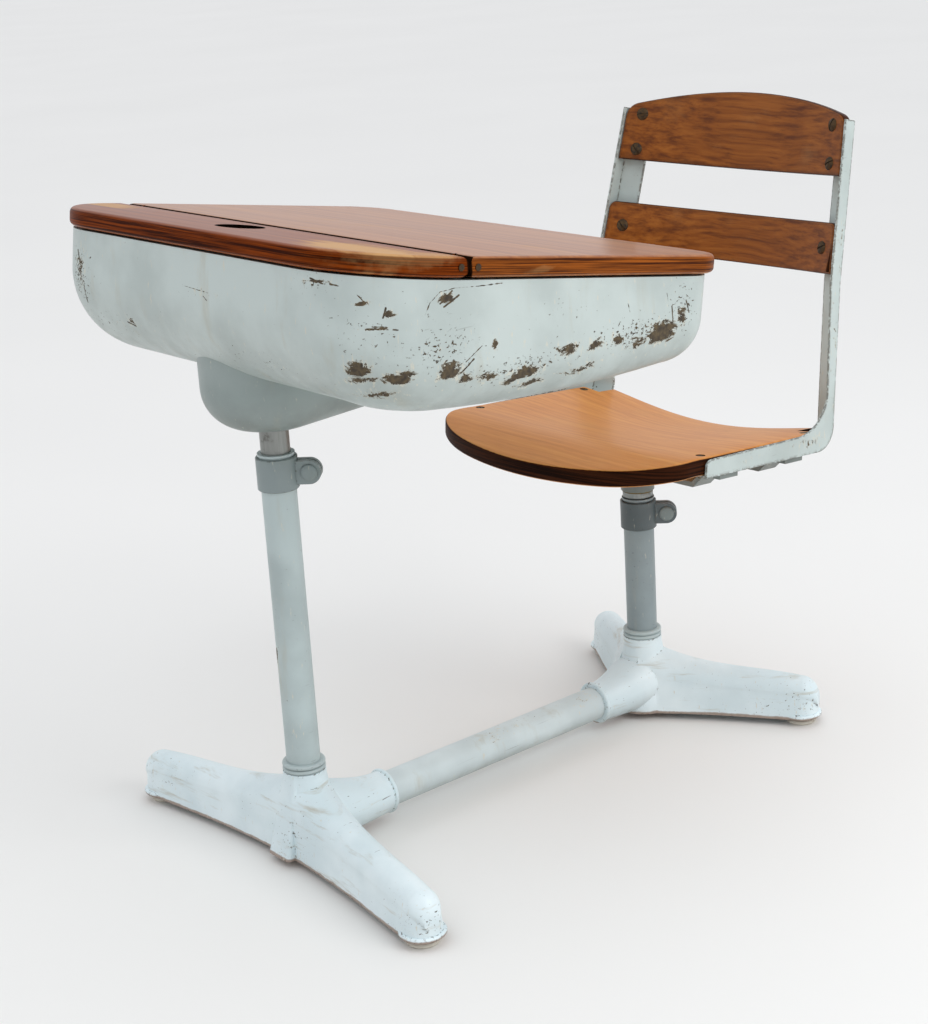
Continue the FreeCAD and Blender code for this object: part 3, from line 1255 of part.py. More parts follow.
def side_frame(side):
    """Stamped L from the front of the seat, round the bend and up behind the slats."""
    along_seat, seat_up = seat_axes()
    up_foot, behind_foot = foot_axes()
    behind = back_axes()[1]
    inwards = Vector(-1, 0, 0)
    web = size("frame_web")
    bend = size("frame_bend")
    slope = web_slope()
    seat_point, meeting = frame_corner()
    turn = math.acos(along_seat.dot(up_foot))
    tangent = bend * math.tan(turn / 2)
    bend_start = meeting - along_seat * tangent
    bend_end = meeting + up_foot * tangent
    centre = bend_start + seat_up * bend
    width = size("frame_half_width")
    shift = Vector(width, 0, 0)

    # flange under the seat, turned up round the bend and twisted to lie flat behind the slats
    seat_front = seat_point - along_seat * size("frame_front")
    shape = Part.makeLoft([strip_section(seat_front + shift, inwards, web, seat_up),
                           strip_section(bend_start + shift, inwards, web, seat_up)], True, True)
    wires = []
    steps = 6
    for step in range(steps + 1):
        angle = turn * step / steps
        twist = slope * step / steps
        outward = seat_up * -math.cos(angle) + along_seat * math.sin(angle)
        web_way = inwards * math.cos(twist) + outward * math.sin(twist)
        wires.append(strip_section(centre + outward * bend + shift, web_way, web, outward * -1))
        if step * 2 == steps:
            bend_mid = centre + outward * bend
    shape = shape.fuse(Part.makeLoft(wires, True, False))
    knee = frame_knee()
    foot_way = inwards * math.cos(slope) + behind_foot * math.sin(slope)
    back_way = inwards * math.cos(slope) + behind * math.sin(slope)
    wide, top = back_corner(size("slat_low") - 10), back_corner(size("upright_top"))
    stations = ((knee, foot_way, behind_foot * -1), (wide, back_way, behind * -1),
                (top, back_way, behind * -1))
    upright = [wires[-1]]
    for at, web_way, forward in stations:
        upright.append(strip_section(at + Vector(frame_width_at(at.z), 0, 0), web_way, web, forward))
    shape = shape.fuse(Part.makeLoft(upright, True, True))

    # cheek beside the seat and flange along the upright
    shape = shape.fuse(side_plate(width, seat_point, bend_start, bend_mid, bend_end, knee))
    flange = []
    depths = ("frame_depth_low", "frame_depth_top", "frame_depth_top")
    for (at, _, forward), depth in zip(stations, depths):
        flange.append(strip_section(at + Vector(frame_width_at(at.z), 0, 0), forward, size(depth), inwards))
    shape = shape.fuse(Part.makeLoft(flange, True, True)).removeSplitter()

    for tool in frame_holes():
        shape = shape.cut(tool)
    if side < 0:
        shape = shape.mirror(Vector(), Vector(1, 0, 0))
    tag = "left" if side > 0 else "right"
    seat_node("side_frame_" + tag, to_rear(made("side_frame_" + tag, shape)))


def frame_holes():
    """Rivet and screw holes under the seat and bolt holes behind the slats, left side."""
    seat_frame = Placement(Vector(0, 0, size("seat_height")), Rotation(Vector(1, 0, 0), -size("seat_slope")))
    tools = []
    fasteners = ((rivet_places(), size("rivet_radius")), (seat_screw_places(), size("screw_radius")))
    for places, radius in fasteners:
        for across, along in places:
            if across > 0:
                hole = Part.makeCylinder(radius + size("hole_gap"), 20, Vector(across, along, -12))
                hole.Placement = seat_frame
                tools.append(hole)
    for along in bolt_levels():
        tools.append(slat_cylinder(along, size("bolt_radius") + size("hole_gap"), -30, 60))
    return tools


def bolt_levels():
    return size("slat_bolt"), size("crest_bolt_low"), size("crest_bolt_high")


def slat_frame(along):
    """Placement of a slat bolt at the left frame, square to the slat: local z points out of its front."""
    angle = web_slope()
    up_back, behind = back_axes()
    out = behind * -math.cos(angle) + Vector(-1, 0, 0) * math.sin(angle)
    at = back_point_at(along)
    beyond = frame_width_at(at.z) - size("slat_bolt_inset") - size("slat_contact")
    at = at + Vector(size("slat_contact") + beyond, 0, 0) - behind * (beyond * math.tan(angle))
    sideways = up_back.cross(out)
    return Placement(at, Rotation(sideways, up_back, out, "ZXY"))


def slat_cylinder(along, radius, low, high):
    item = Part.makeCylinder(radius, high - low, Vector(0, 0, low))
    item.Placement = slat_frame(along)
    return item


def curved_slat(name, outline_points, crown, levels):
    """Bent board: a slice of a thick tube trimmed to its front outline, with rounded edges."""
    radius = size("slat_radius") - 0.1
    thick = size("slat_thickness")
    sag = radius - math.sqrt(radius ** 2 - size("slat_contact") ** 2)
    centre_y = sag - radius
    low = min(point[1] for point in outline_points) - 5
    high = max(point[1] for point in outline_points) + crown + 5
    shell = Part.makeCylinder(radius, high - low, Vector(0, centre_y, low))
    shell = shell.cut(Part.makeCylinder(radius - thick, high - low, Vector(0, centre_y, low)))
    corners = [Vector(across, -80, level) for across, level in outline_points]
    edges = [Part.LineSegment(corners[0], corners[1]).toShape(),
             Part.LineSegment(corners[1], corners[2]).toShape()]
    if crown > 0:
        middle = Vector(0, -80, (corners[2].z + corners[3].z) / 2 + crown)
        edges.append(Part.Arc(corners[2], middle, corners[3]).toShape())
    else:
        edges.append(Part.LineSegment(corners[2], corners[3]).toShape())
    edges.append(Part.LineSegment(corners[3], corners[0]).toShape())
    prism = Part.Face(Part.Wire(edges)).extrude(Vector(0, 160, 0))
    upper = [edge for edge in prism.Edges
             if edge.BoundBox.YLength > 100 and edge.Vertexes[0].Z > (low + high) / 2]
    prism = prism.makeFillet(20.0 if crown > 0 else 9.0, upper)
    board = shell.common(prism)
    rim = [edge for edge in board.Edges if edge_on_face_side(edge, centre_y, radius, thick)]
    board = board.makeFillet(3.0, rim)
    lean = Placement(Vector(0, size("back_y"), size("back_z")),
                     Rotation(Vector(1, 0, 0), -size("back_lean")))
    board.Placement = lean
    for level in levels:
        hole = slat_cylinder(level, size("bolt_radius") + size("hole_gap"), -30, 60)
        board = board.cut(hole)
        board = board.cut(hole.mirror(Vector(), Vector(1, 0, 0)))
    seat_node(name, to_rear(made(name, board)))


def edge_on_face_side(edge, centre_y, radius, thick):
    """True for an edge that lies on the front or rear face of a bent board."""
    for share in (0.3, 0.7):
        point = edge.valueAt(edge.FirstParameter + share * (edge.LastParameter - edge.FirstParameter))
        reach = math.hypot(point.x, point.y - centre_y)
        if min(abs(reach - radius), abs(reach - radius + thick)) > 0.02:
            return False
    return True


def slat_half_width(along):
    at = back_point_at(along)
    return frame_width_at(at.z) - size("frame_steel") - size("slat_play")


def slat_bolts(name, nut_name, levels):
    bolts, nuts = [], []
    head = size("bolt_head_radius")
    front = size("slat_thickness") + 0.12
    rear = -size("frame_steel")
    for level in levels:
        shank = Part.makeCylinder(size("bolt_radius"), front - rear + 8, Vector(0, 0, rear - 8))
        cap = domed_head(head)
        cap.translate(Vector(0, 0, front))
        slot = Part.makeBox(2 * head + 2, 1.4, 3, Vector(-head - 1, -0.7, front + head_height(head) - 1.5))
        bolt = cap.fuse(shank).cut(slot)
        nut = Part.makeBox(11, 11, 4.5, Vector(-5.5, -5.5, rear - 4.6))
        hole = Part.makeCylinder(size("bolt_radius") + size("sliding_gap"), 6, Vector(0, 0, rear - 5))
        nut = nut.cut(hole)
        for shape, store, tag in ((bolt, bolts, name), (nut, nuts, nut_name)):
            placed = shape.copy()
            placed.Placement = slat_frame(level)
            store.append(made("%s_%d" % (tag, len(store)), placed))
            store.append(made("%s_%d" % (tag, len(store)), placed.mirror(Vector(), Vector(1, 0, 0))))
    seat_node(name, to_rear(group(name + "_all", bolts)))
    seat_node(nut_name, to_rear(group(nut_name + "_all", nuts)))


def back_rest():
    low, high = size("crest_low"), size("crest_high")
    curved_slat("back_crest", ((-slat_half_width(low), low), (slat_half_width(low), low),
                               (slat_half_width(high), high), (-slat_half_width(high), high)),
                size("crest_rise"), (size("crest_bolt_low"), size("crest_bolt_high")))
    low, high = size("slat_low"), size("slat_high")
    curved_slat("back_slat", ((-slat_half_width(low), low), (slat_half_width(low), low),
                              (slat_half_width(high), high), (-slat_half_width(high), high)), 0,
                (size("slat_bolt"),))
    slat_bolts("crest_bolts", "crest_nuts", (size("crest_bolt_low"), size("crest_bolt_high")))
    slat_bolts("slat_bolts", "slat_nuts", (size("slat_bolt"),))


# ---------------------------------------------------------------- small parts under the boards
def rim_hardware():
    """Washers and screws under the rail, and the lid's rubber bumpers."""
    washers, screws, bumpers = [], [], []
    gap = size("board_gap")
    low = -size("top_thickness") - gap
    for index, (across, along) in enumerate(rail_screw_places()):
        ring = Part.makeCylinder(7.0, gap, Vector(across, along, low))
        washers.append(made("rail_washer_%d" % index, ring.cut(
            Part.makeCylinder(size("screw_radius") + size("hole_gap"), gap, Vector(across, along, low)))))
        under = low - size("box_wall")
        shank = Part.makeCylinder(size("screw_radius"), 16.0, Vector(across, along, under))
        head = Part.makeSphere(6.0, Vector(across, along, under + 3.2))
        head = head.common(Part.makeCylinder(7, 6, Vector(across, along, under - 6)))
        screws.append(made("rail_screw_%d" % index, shank.fuse(head)))
    for index, (across, along) in enumerate(lid_bumper_places()):
        bumper = Part.makeCylinder(6.0, gap - 0.2, Vector(across, along, low))
        bumpers.append(made("lid_bumper_%d" % index, bumper))
    node("rail_washers", to_top(group("rail_washers_all", washers)))
    node("rail_screws", to_top(group("rail_screws_all", screws)))
    node("lid_bumpers", to_top(group("lid_bumpers_all", bumpers)))


def write_nodes():
    doc.recompute()
    for item in doc.Objects:
        if "Invalid" in item.State or "Error" in item.State:
            raise RuntimeError("%s did not rebuild: %s" % (item.Name, item.State))
    os.makedirs("parts", exist_ok=True)
    for name, item in NODES.items():
        shape = item.Shape
        if shape.isNull() or not shape.isValid() or not shape.Solids:
            raise RuntimeError("%s has no valid shape" % name)
        shape.exportStep(os.path.join("parts", name + ".step"))
    print("%d nodes, %d solids" % (len(NODES), sum(len(item.Shape.Solids) for item in NODES.values())))


wooden_top()
box_solid = book_box()
stem_support(box_solid)
rim_hardware()
base()
seat_post()
seat_board()
seat_bracket()
side_frame(1)
side_frame(-1)
back_rest()
write_nodes()
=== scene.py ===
import json
import math

import bmesh
import bpy
import numpy as np
from mathutils import Matrix, Vector


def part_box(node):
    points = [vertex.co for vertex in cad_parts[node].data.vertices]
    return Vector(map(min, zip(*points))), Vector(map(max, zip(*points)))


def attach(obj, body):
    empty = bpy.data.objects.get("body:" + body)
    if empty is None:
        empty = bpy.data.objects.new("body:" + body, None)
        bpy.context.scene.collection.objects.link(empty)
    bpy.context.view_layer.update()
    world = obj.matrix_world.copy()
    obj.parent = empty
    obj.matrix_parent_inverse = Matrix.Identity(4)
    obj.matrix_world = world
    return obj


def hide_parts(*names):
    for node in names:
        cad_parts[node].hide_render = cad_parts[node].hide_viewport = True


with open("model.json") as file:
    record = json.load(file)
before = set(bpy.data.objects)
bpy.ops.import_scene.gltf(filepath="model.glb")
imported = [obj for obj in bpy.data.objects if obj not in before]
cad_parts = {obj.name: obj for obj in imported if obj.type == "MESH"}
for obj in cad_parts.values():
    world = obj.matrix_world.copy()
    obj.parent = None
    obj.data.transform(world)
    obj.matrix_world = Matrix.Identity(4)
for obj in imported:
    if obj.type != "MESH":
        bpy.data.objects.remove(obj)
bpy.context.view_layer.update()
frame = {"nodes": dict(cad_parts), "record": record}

nodes = frame["nodes"]
mergeDistance = 2e-6  # metres; a CAD mesh is loose triangles until its points are merged
sharpCad = 32  # degrees; edges sharper than this stay crisp on pieces from the CAD model
sharpMade = 38  # and on pieces made here
columnY = -0.3409  # axis of the front column
slotOf = {entry["node"]: entry["material_slot"] for entry in frame["record"]["subparts"]}
bodyOf = {nodeName: bodyName for bodyName, members in frame["record"]["behaviour"]["bodies"].items()
          for nodeName in members}
replaced = set()  # CAD nodes that a piece made here stands for
print("frame loaded:", len(nodes), "pieces")


# small tools for colours, nodes and meshes

def hexColour(text):
    # sRGB hex to linear: c / 12.92 below 0.04045, else ((c + 0.055) / 1.055) to the power 2.4
    channels = np.array([int(text[i:i + 2], 16) for i in (1, 3, 5)]) / 255
    linear = np.where(channels <= 0.04045, channels / 12.92, ((channels + 0.055) / 1.055) ** 2.4)
    return tuple(float(c) for c in linear) + (1.0,)


def addNode(tree, kind, inputs=None, output=None, **settings):
    # adds a node with its settings, links and values; returns the output asked for, or else the first in use
    node = tree.nodes.new("ShaderNode" + kind)
    for key, value in settings.items():
        setattr(node, key, value)
    for key, value in (inputs or {}).items():
        if isinstance(value, bpy.types.NodeSocket):
            tree.links.new(value, node.inputs[key])
        else:
            node.inputs[key].default_value = value
    if output is not None:
        return node.outputs[output]
    return next((socket for socket in node.outputs if socket.enabled), None)


def blankMaterial(name):
    material = bpy.data.materials.new(name)
    material.use_nodes = True
    tree = material.node_tree
    tree.nodes.clear()
    shader = addNode(tree, "BsdfPrincipled")
    addNode(tree, "OutputMaterial", {"Surface": shader})
    return material, tree, shader.node


def perMm(*sizes):
    # noise scale from the size of one feature in millimetres, along x, y and z
    return tuple(1000.0 / s for s in sizes)


def stretchedNoise(tree, place, sizesMm, detail, roughness=0.5, distortion=0.0, turn=(0, 0, 0),
                   shift=(0, 0, 0)):
    # cloudy noise whose features are as many millimetres long along x, y and z as sizesMm says
    mapped = addNode(tree, "Mapping", {"Vector": place, "Location": shift, "Rotation": turn,
                                       "Scale": perMm(*sizesMm)})
    return addNode(tree, "TexNoise", {"Vector": mapped, "Scale": 1.0, "Detail": detail,
                                      "Roughness": roughness, "Distortion": distortion})


def edgeTurn(tree, radiusMm):
    # 1 on flat places, less where a normal rounded over the radius parts from the true one
    rounded = addNode(tree, "Bevel", {"Radius": radiusMm / 1000}, samples=4)
    true = addNode(tree, "NewGeometry", output="Normal")
    return addNode(tree, "VectorMath", {0: rounded, 1: true}, operation="DOT_PRODUCT")


def standFor(piece, nodeName):
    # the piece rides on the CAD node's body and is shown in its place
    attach(piece, bodyOf[nodeName])
    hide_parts(nodeName)
    replaced.add(nodeName)


def newPiece(name, nodeName, verts, faces, material):
    # a mesh made here, in place of a CAD node
    mesh = bpy.data.meshes.new(name)
    mesh.from_pydata(verts.tolist(), [], faces.tolist())
    mesh.validate()
    piece = bpy.data.objects.new(name, mesh)
    bpy.context.scene.collection.objects.link(piece)
    mesh.materials.append(material)
    closeAndSmooth(mesh, sharpMade)
    standFor(piece, nodeName)


def closeAndSmooth(mesh, sharpDegrees):
    # merge touching points, then shade smooth but for edges sharper than the given angle
    shape = bmesh.new()
    shape.from_mesh(mesh)
    bmesh.ops.remove_doubles(shape, verts=shape.verts, dist=mergeDistance)
    for face in shape.faces:
        face.smooth = True
    limit = math.radians(sharpDegrees)
    for edge in shape.edges:
        edge.smooth = len(edge.link_faces) == 2 and edge.calc_face_angle(0) < limit
    shape.to_mesh(mesh)
    shape.free()


def finePiece(nodeName, material):
    # merged, smoothly shaded copy of a CAD node, in its place
    piece = nodes[nodeName].copy()
    piece.data = nodes[nodeName].data.copy()
    piece.name = nodeName + "_fine"
    piece.parent = None
    bpy.context.scene.collection.objects.link(piece)
    closeAndSmooth(piece.data, sharpCad)
    piece.data.materials.clear()
    piece.data.materials.append(material)
    standFor(piece, nodeName)


# camera

view = {"azimuth": 50.6, "pitch": 17.8, "roll": -3.5, "focal": 1962.7, "frameWidth": 928,
        "place": (1.6762, columnY - 1.1235, 1.0369)}


def placeCamera(look):
    # back = towards the camera; right and up are square to it and then turned by the roll
    a, p, r = (math.radians(look[key]) for key in ("azimuth", "pitch", "roll"))
    back = Vector((math.sin(a) * math.cos(p), -math.cos(a) * math.cos(p), math.sin(p)))
    right = (-back).cross(Vector((0, 0, 1))).normalized()
    up = back.cross(right)
    turnedRight = right * math.cos(r) + up * math.sin(r)
    turnedUp = up * math.cos(r) - right * math.sin(r)
    data = bpy.data.cameras.new("deskCamera")
    data.sensor_fit = "HORIZONTAL"
    data.sensor_width = 36
    data.lens = look["focal"] * data.sensor_width / look["frameWidth"]
    camera = bpy.data.objects.new("deskCamera", data)
    bpy.context.scene.collection.objects.link(camera)
    turn = Matrix((turnedRight, turnedUp, back)).transposed().to_4x4()
    camera.matrix_world = Matrix.Translation(look["place"]) @ turn
    bpy.context.scene.camera = camera


placeCamera(view)
print("camera placed")


# floor, backdrop and lamps

studio = {"floorColour": "#F4F3F0", "floorShade": "#EFEEEB", "worldColour": "#F4F6FA", "zenith": 1.24,
          "horizon": 0.12, "backStrength": 0.9, "floorRadius": 30.0, "aimHeight": 0.4,
          "keyPlace": (2.8, 0.6, 2.2), "keyWatts": 36.0, "keySize": 2.2,
          "fillPlace": (-1.6, -2.6, 2.4), "fillWatts": 2.5, "fillSize": 2.6}


def buildStudio(look):
    # a wide disc of floor on a polar grid: x = r cos a, y = r sin a, with closer rings in the middle
    rings, spokes = 24, 96
    reach = np.linspace(0, 1, rings)[:, None] ** 2 * look["floorRadius"]
    angle = np.linspace(0, 2 * np.pi, spokes, endpoint=False)[None, :]
    x = reach * np.cos(angle)
    y = reach * np.sin(angle)
    z = np.full_like(x, -0.0002)  # a hair below the floor glides
    verts = np.stack([x, y, z], -1).reshape(-1, 3)
    i, j = np.meshgrid(np.arange(rings - 1), np.arange(spokes), indexing="ij")
    a, b = i * spokes + j, i * spokes + (j + 1) % spokes
    faces = np.stack([a, a + spokes, b + spokes, b], -1).reshape(-1, 4)
    mesh = bpy.data.meshes.new("studioFloor")
    mesh.from_pydata(verts.tolist(), [], faces.tolist())
    floor = bpy.data.objects.new("studioFloor", mesh)
    bpy.context.scene.collection.objects.link(floor)
    material, tree, shader = blankMaterial("paleStudioFloor")
    place = addNode(tree, "TexCoord", output="Object")
    cloud = addNode(tree, "TexNoise", {"Vector": place, "Scale": perMm(900)[0], "Detail": 2.0})
    tone = addNode(tree, "Mix", {0: cloud, 6: hexColour(look["floorColour"]),
                                 7: hexColour(look["floorShade"])}, data_type="RGBA")
    tree.links.new(tone, shader.inputs["Base Color"])
    shader.inputs["Roughness"].default_value = 0.85
    mesh.materials.append(material)

    world = bpy.data.worlds.new("studioWorld")
    bpy.context.scene.world = world
    world.use_nodes = True
    tree = world.node_tree
    tree.nodes.clear()
    # soft overcast: brightest overhead, dim at the horizon and below it
    height = addNode(tree, "SeparateXYZ", {0: addNode(tree, "TexCoord", output="Generated")}, output="Z")
    strength = addNode(tree, "MapRange", {0: height, 1: -0.05, 2: 0.85, 3: look["horizon"],
                                          4: look["zenith"]})
    light = addNode(tree, "Background", {"Color": hexColour(look["worldColour"]), "Strength": strength})
    shown = addNode(tree, "Background", {"Color": hexColour("#F7F8FA"), "Strength": look["backStrength"]})
    path = addNode(tree, "LightPath").node.outputs
    seen = addNode(tree, "Math", {0: path["Is Camera Ray"], 1: path["Is Glossy Ray"]},
                   operation="MAXIMUM")
    seen = addNode(tree, "Math", {0: seen, 1: path["Is Transmission Ray"]}, operation="MAXIMUM")
    blend = addNode(tree, "MixShader", {0: seen, 1: light, 2: shown})
    addNode(tree, "OutputWorld", {"Surface": blend})

    for name in ("key", "fill"):
        data = bpy.data.lights.new(name + "Lamp", "AREA")
        data.shape = "DISK"
        data.size = look[name + "Size"]
        data.energy = look[name + "Watts"]
        lamp = bpy.data.objects.new(name + "Lamp", data)
        lamp.location = look[name + "Place"]
        away = Vector(look[name + "Place"]) - Vector((0, 0, look["aimHeight"]))
        lamp.rotation_euler = away.to_track_quat("Z", "Y").to_euler()
        bpy.context.scene.collection.objects.link(lamp)


bpy.context.scene.view_settings.view_transform = "Standard"
buildStudio(studio)
print("studio built")


# enamel over iron, worn

def strokeGap(tree, place, strokes):
    # shortest distance from a point to any of the lines from start to end, less half the line's width
    nearest = 1.0
    for startMm, endMm, halfWidthMm in strokes:
        start = Vector(startMm) / 1000
        span = Vector(endMm) / 1000 - start
        away = addNode(tree, "VectorMath", {0: place, 1: start}, operation="SUBTRACT")
        along = addNode(tree, "VectorMath", {0: away, 1: span / span.length_squared}, operation="DOT_PRODUCT")
        along = addNode(tree, "Math", {0: along, 1: 1.0}, operation="MULTIPLY", use_clamp=True)
        foot = addNode(tree, "VectorMath", {0: span, "Scale": along}, operation="SCALE")
        gap = addNode(tree, "VectorMath", {0: away, 1: foot}, operation="DISTANCE")
        gap = addNode(tree, "Math", {0: gap, 1: halfWidthMm / 1000}, operation="SUBTRACT")
        nearest = addNode(tree, "Math", {0: nearest, 1: gap}, operation="MINIMUM")
    return nearest


def reachShare(tree, place, centreMm, reachMm):
    # 0 in the middle of a ball with its own reach along x, y and z, 1 on its rim
    centre = tuple(c / 1000 for c in centreMm)
    away = addNode(tree, "VectorMath", {0: place, 1: centre}, operation="SUBTRACT")
    share = addNode(tree, "VectorMath", {0: away, 1: perMm(*reachMm)}, operation="MULTIPLY")
    return addNode(tree, "VectorMath", {0: share}, operation="LENGTH")


def strongestPull(tree, place, places):
    # soft balls, each strongest in its middle and nothing at its rim; the strongest one counts
    pull = 0.0
    for centreMm, reachMm, strength in places:
        span = reachShare(tree, place, centreMm, reachMm)
        ball = addNode(tree, "Math", {0: span, 1: -strength, 2: strength}, operation="MULTIPLY_ADD")
        pull = addNode(tree, "Math", {0: pull, 1: ball}, operation="MAXIMUM")
    return pull


def agedEnamel(name, look):
    # Brushed and baked enamel on sheet steel or cast iron. The eye sees a pale, slightly uneven tint, chips
    # down to brown iron with cream undercoat round them, thin dark scratches, and painted shade darkening the
    # faces that look down, broken by smears of grime.
    material, tree, shader = blankMaterial(name)
    place = addNode(tree, "TexCoord", output="Object")
    wide = addNode(tree, "TexNoise", {"Vector": place, "Scale": perMm(95)[0], "Detail": 4.0})
    wideRange = addNode(tree, "MapRange", {0: wide, 1: 0.36, 2: 0.66}, interpolation_type="SMOOTHSTEP")
    tint = addNode(tree, "Mix", {0: wideRange, 6: hexColour(look["paint"]),
                                 7: hexColour(look["paintDeep"])}, data_type="RGBA")
    # yellowed streaks, as long along each axis as runMm says
    stain = stretchedNoise(tree, place, look["runMm"], 5.0, 0.6)
    stainMask = addNode(tree, "MapRange", {0: stain, 1: 0.56, 2: 0.78, 4: look["stain"]},
                        interpolation_type="SMOOTHSTEP")
    tint = addNode(tree, "Mix", {0: stainMask, 6: tint, 7: hexColour(look["stainColour"])},
                   data_type="RGBA")

    # worn most at the named places, and along sharp edges where a rounded normal parts from the true one
    worn = strongestPull(tree, place, look["wornPlaces"])
    flecked = strongestPull(tree, place, look["fleckPlaces"])
    if look["edgeMm"] > 0:
        turn = edgeTurn(tree, look["edgeMm"])
        rubbed = addNode(tree, "MapRange", {0: turn, 1: 0.998, 2: 0.92, 4: look["edgeWear"]})
        flecked = addNode(tree, "Math", {0: flecked, 1: rubbed}, operation="MAXIMUM")

    # chips: flakes a few millimetres long, wider than tall, where flake noise and wear together pass a level
    flakes = stretchedNoise(tree, place, look["flakeMm"], 9.0, 0.78, 0.6)
    level = addNode(tree, "Math", {0: flakes, 1: worn}, operation="ADD")
    chip = addNode(tree, "MapRange", {0: level, 1: look["chipLevel"], 2: look["chipLevel"] + 0.012})
    halo = addNode(tree, "MapRange", {0: level, 1: look["chipLevel"] - 0.045, 2: look["chipLevel"],
                                      4: 0.55}, interpolation_type="SMOOTHSTEP")
    # flecks: the same in small, two or three millimetres long
    flecks = stretchedNoise(tree, place, look["fleckMm"], 4.0, 0.6, 0.4)
    flecks = addNode(tree, "Math", {0: flecks, 1: flecked}, operation="ADD")
    flecks = addNode(tree, "MapRange", {0: flecks, 1: look["fleckLevel"], 2: look["fleckLevel"] + 0.02})
    chip = addNode(tree, "Math", {0: chip, 1: flecks}, operation="MAXIMUM")
    # dragged scratches: dark lines along the listed strokes, frayed by about a millimetre
    if look["strokes"]:
        gap = strokeGap(tree, place, look["strokes"])
        fray = addNode(tree, "TexNoise", {"Vector": place, "Scale": perMm(4)[0], "Detail": 3.0})
        gap = addNode(tree, "Math", {0: fray, 1: 0.0022, 2: gap}, operation="MULTIPLY_ADD")
        drag = addNode(tree, "MapRange", {0: gap, 1: 0.0013, 2: 0.0010})
        chip = addNode(tree, "Math", {0: chip, 1: drag}, operation="MAXIMUM")
    # cream undercoat where the top coat is rubbed thin, in short runs
    rub = stretchedNoise(tree, place, (3, 5, 16), 4.0, 0.6)
    rub = addNode(tree, "Math", {0: worn, 1: 0.45, 2: rub}, operation="MULTIPLY_ADD")
    rub = addNode(tree, "MapRange", {0: rub, 1: look["rubFrom"], 2: look["rubFrom"] + 0.08, 4: 0.65})
    halo = addNode(tree, "Math", {0: halo, 1: rub}, operation="MAXIMUM")
    iron = addNode(tree, "TexNoise", {"Vector": place, "Scale": perMm(5)[0], "Detail": 4.0})
    ironRange = addNode(tree, "MapRange", {0: iron, 1: 0.35, 2: 0.65})
    bare = addNode(tree, "Mix", {0: ironRange, 6: hexColour(look["iron"]), 7: hexColour(look["rust"])},
                   data_type="RGBA")

    # scratches: hair lines from a noise sixty times as long as wide, let through in a few places
    hairs = 0.0
    for turn, seed in ((0.35, 0.0), (-0.6, 3.0)):
        hair = stretchedNoise(tree, place, (2.2, 130, 2.2), 1.0, turn=(turn, 0.2, turn), shift=(seed,) * 3)
        thin = addNode(tree, "MapRange", {0: hair, 1: 0.76, 2: 0.79})
        hairs = addNode(tree, "Math", {0: hairs, 1: thin}, operation="MAXIMUM")
    gate = addNode(tree, "MapRange", {0: wide, 1: 0.5, 2: 0.56, 4: look["scratches"]})
    hairs = addNode(tree, "Math", {0: hairs, 1: gate}, operation="MULTIPLY")

    # painted shade: faces that look down are darkened, broken up by smears of grime
    normal = addNode(tree, "TexCoord", output="Normal")
    normal = addNode(tree, "SeparateXYZ", {0: normal}, output="Z")
    under = addNode(tree, "MapRange", {0: normal, 1: 0.1, 2: -0.9, 4: look["underShadeAndGrime"]})
    smear = addNode(tree, "TexNoise", {"Vector": place, "Scale": perMm(34)[0], "Detail": 6.0,
                                       "Roughness": 0.65})
    smearRange = addNode(tree, "MapRange", {0: smear, 1: 0.35, 2: 0.7, 3: 0.45, 4: 1.0})
    # dirt here is painted shade on faces that look down, partly grime where the smears fall
    dirt = addNode(tree, "Math", {0: under, 1: smearRange}, operation="MULTIPLY")

    colour = addNode(tree, "Mix", {0: dirt, 6: tint, 7: hexColour(look["underShadeAndGrimeColour"])}, data_type="RGBA")
    if look["rustBelowMm"] > 0:  # a rusty line creeps up from the lower rim
        level = addNode(tree, "SeparateXYZ", {0: place}, output="Z")
        level = addNode(tree, "Math", {0: smear, 1: -0.006, 2: level}, operation="MULTIPLY_ADD")
        creep = addNode(tree, "MapRange", {0: level, 1: look["rustBelowMm"] / 1000 - 0.003,
                                           2: look["rustBelowMm"] / 1000 - 0.0045, 4: 0.8})
        colour = addNode(tree, "Mix", {0: creep, 6: colour, 7: hexColour("#8A6549")}, data_type="RGBA")
    colour = addNode(tree, "Mix", {0: halo, 6: colour, 7: hexColour(look["undercoat"])}, data_type="RGBA")
    colour = addNode(tree, "Mix", {0: hairs, 6: colour, 7: hexColour(look["iron"])}, data_type="RGBA")
    colour = addNode(tree, "Mix", {0: chip, 6: colour, 7: bare}, data_type="RGBA")
    tree.links.new(colour, shader.inputs["Base Color"])
    gloss = addNode(tree, "MapRange", {0: smear, 1: 0.3, 2: 0.7, 3: look["gloss"], 4: look["gloss"] + 0.14})
    rough = addNode(tree, "Mix", {0: chip, 2: gloss, 3: 0.8})
    tree.links.new(rough, shader.inputs["Roughness"])
    shader.inputs["IOR"].default_value = 1.52  # baked enamel

    # relief in metres: paint 0.25 mm proud of the chips, over a brushed or sagged skin
    skin = addNode(tree, "TexNoise", {"Vector": place, "Scale": perMm(look["skinMm"])[0], "Detail": 3.0})
    raised = addNode(tree, "Math", {0: skin, 1: look["skinDepth"]}, operation="MULTIPLY")
    relief = addNode(tree, "Math", {0: chip, 1: -0.00025, 2: raised}, operation="MULTIPLY_ADD")
    bump = addNode(tree, "Bump", {"Height": relief, "Distance": 1.0, "Strength": 0.8})
    tree.links.new(bump, shader.inputs["Normal"])
    return material


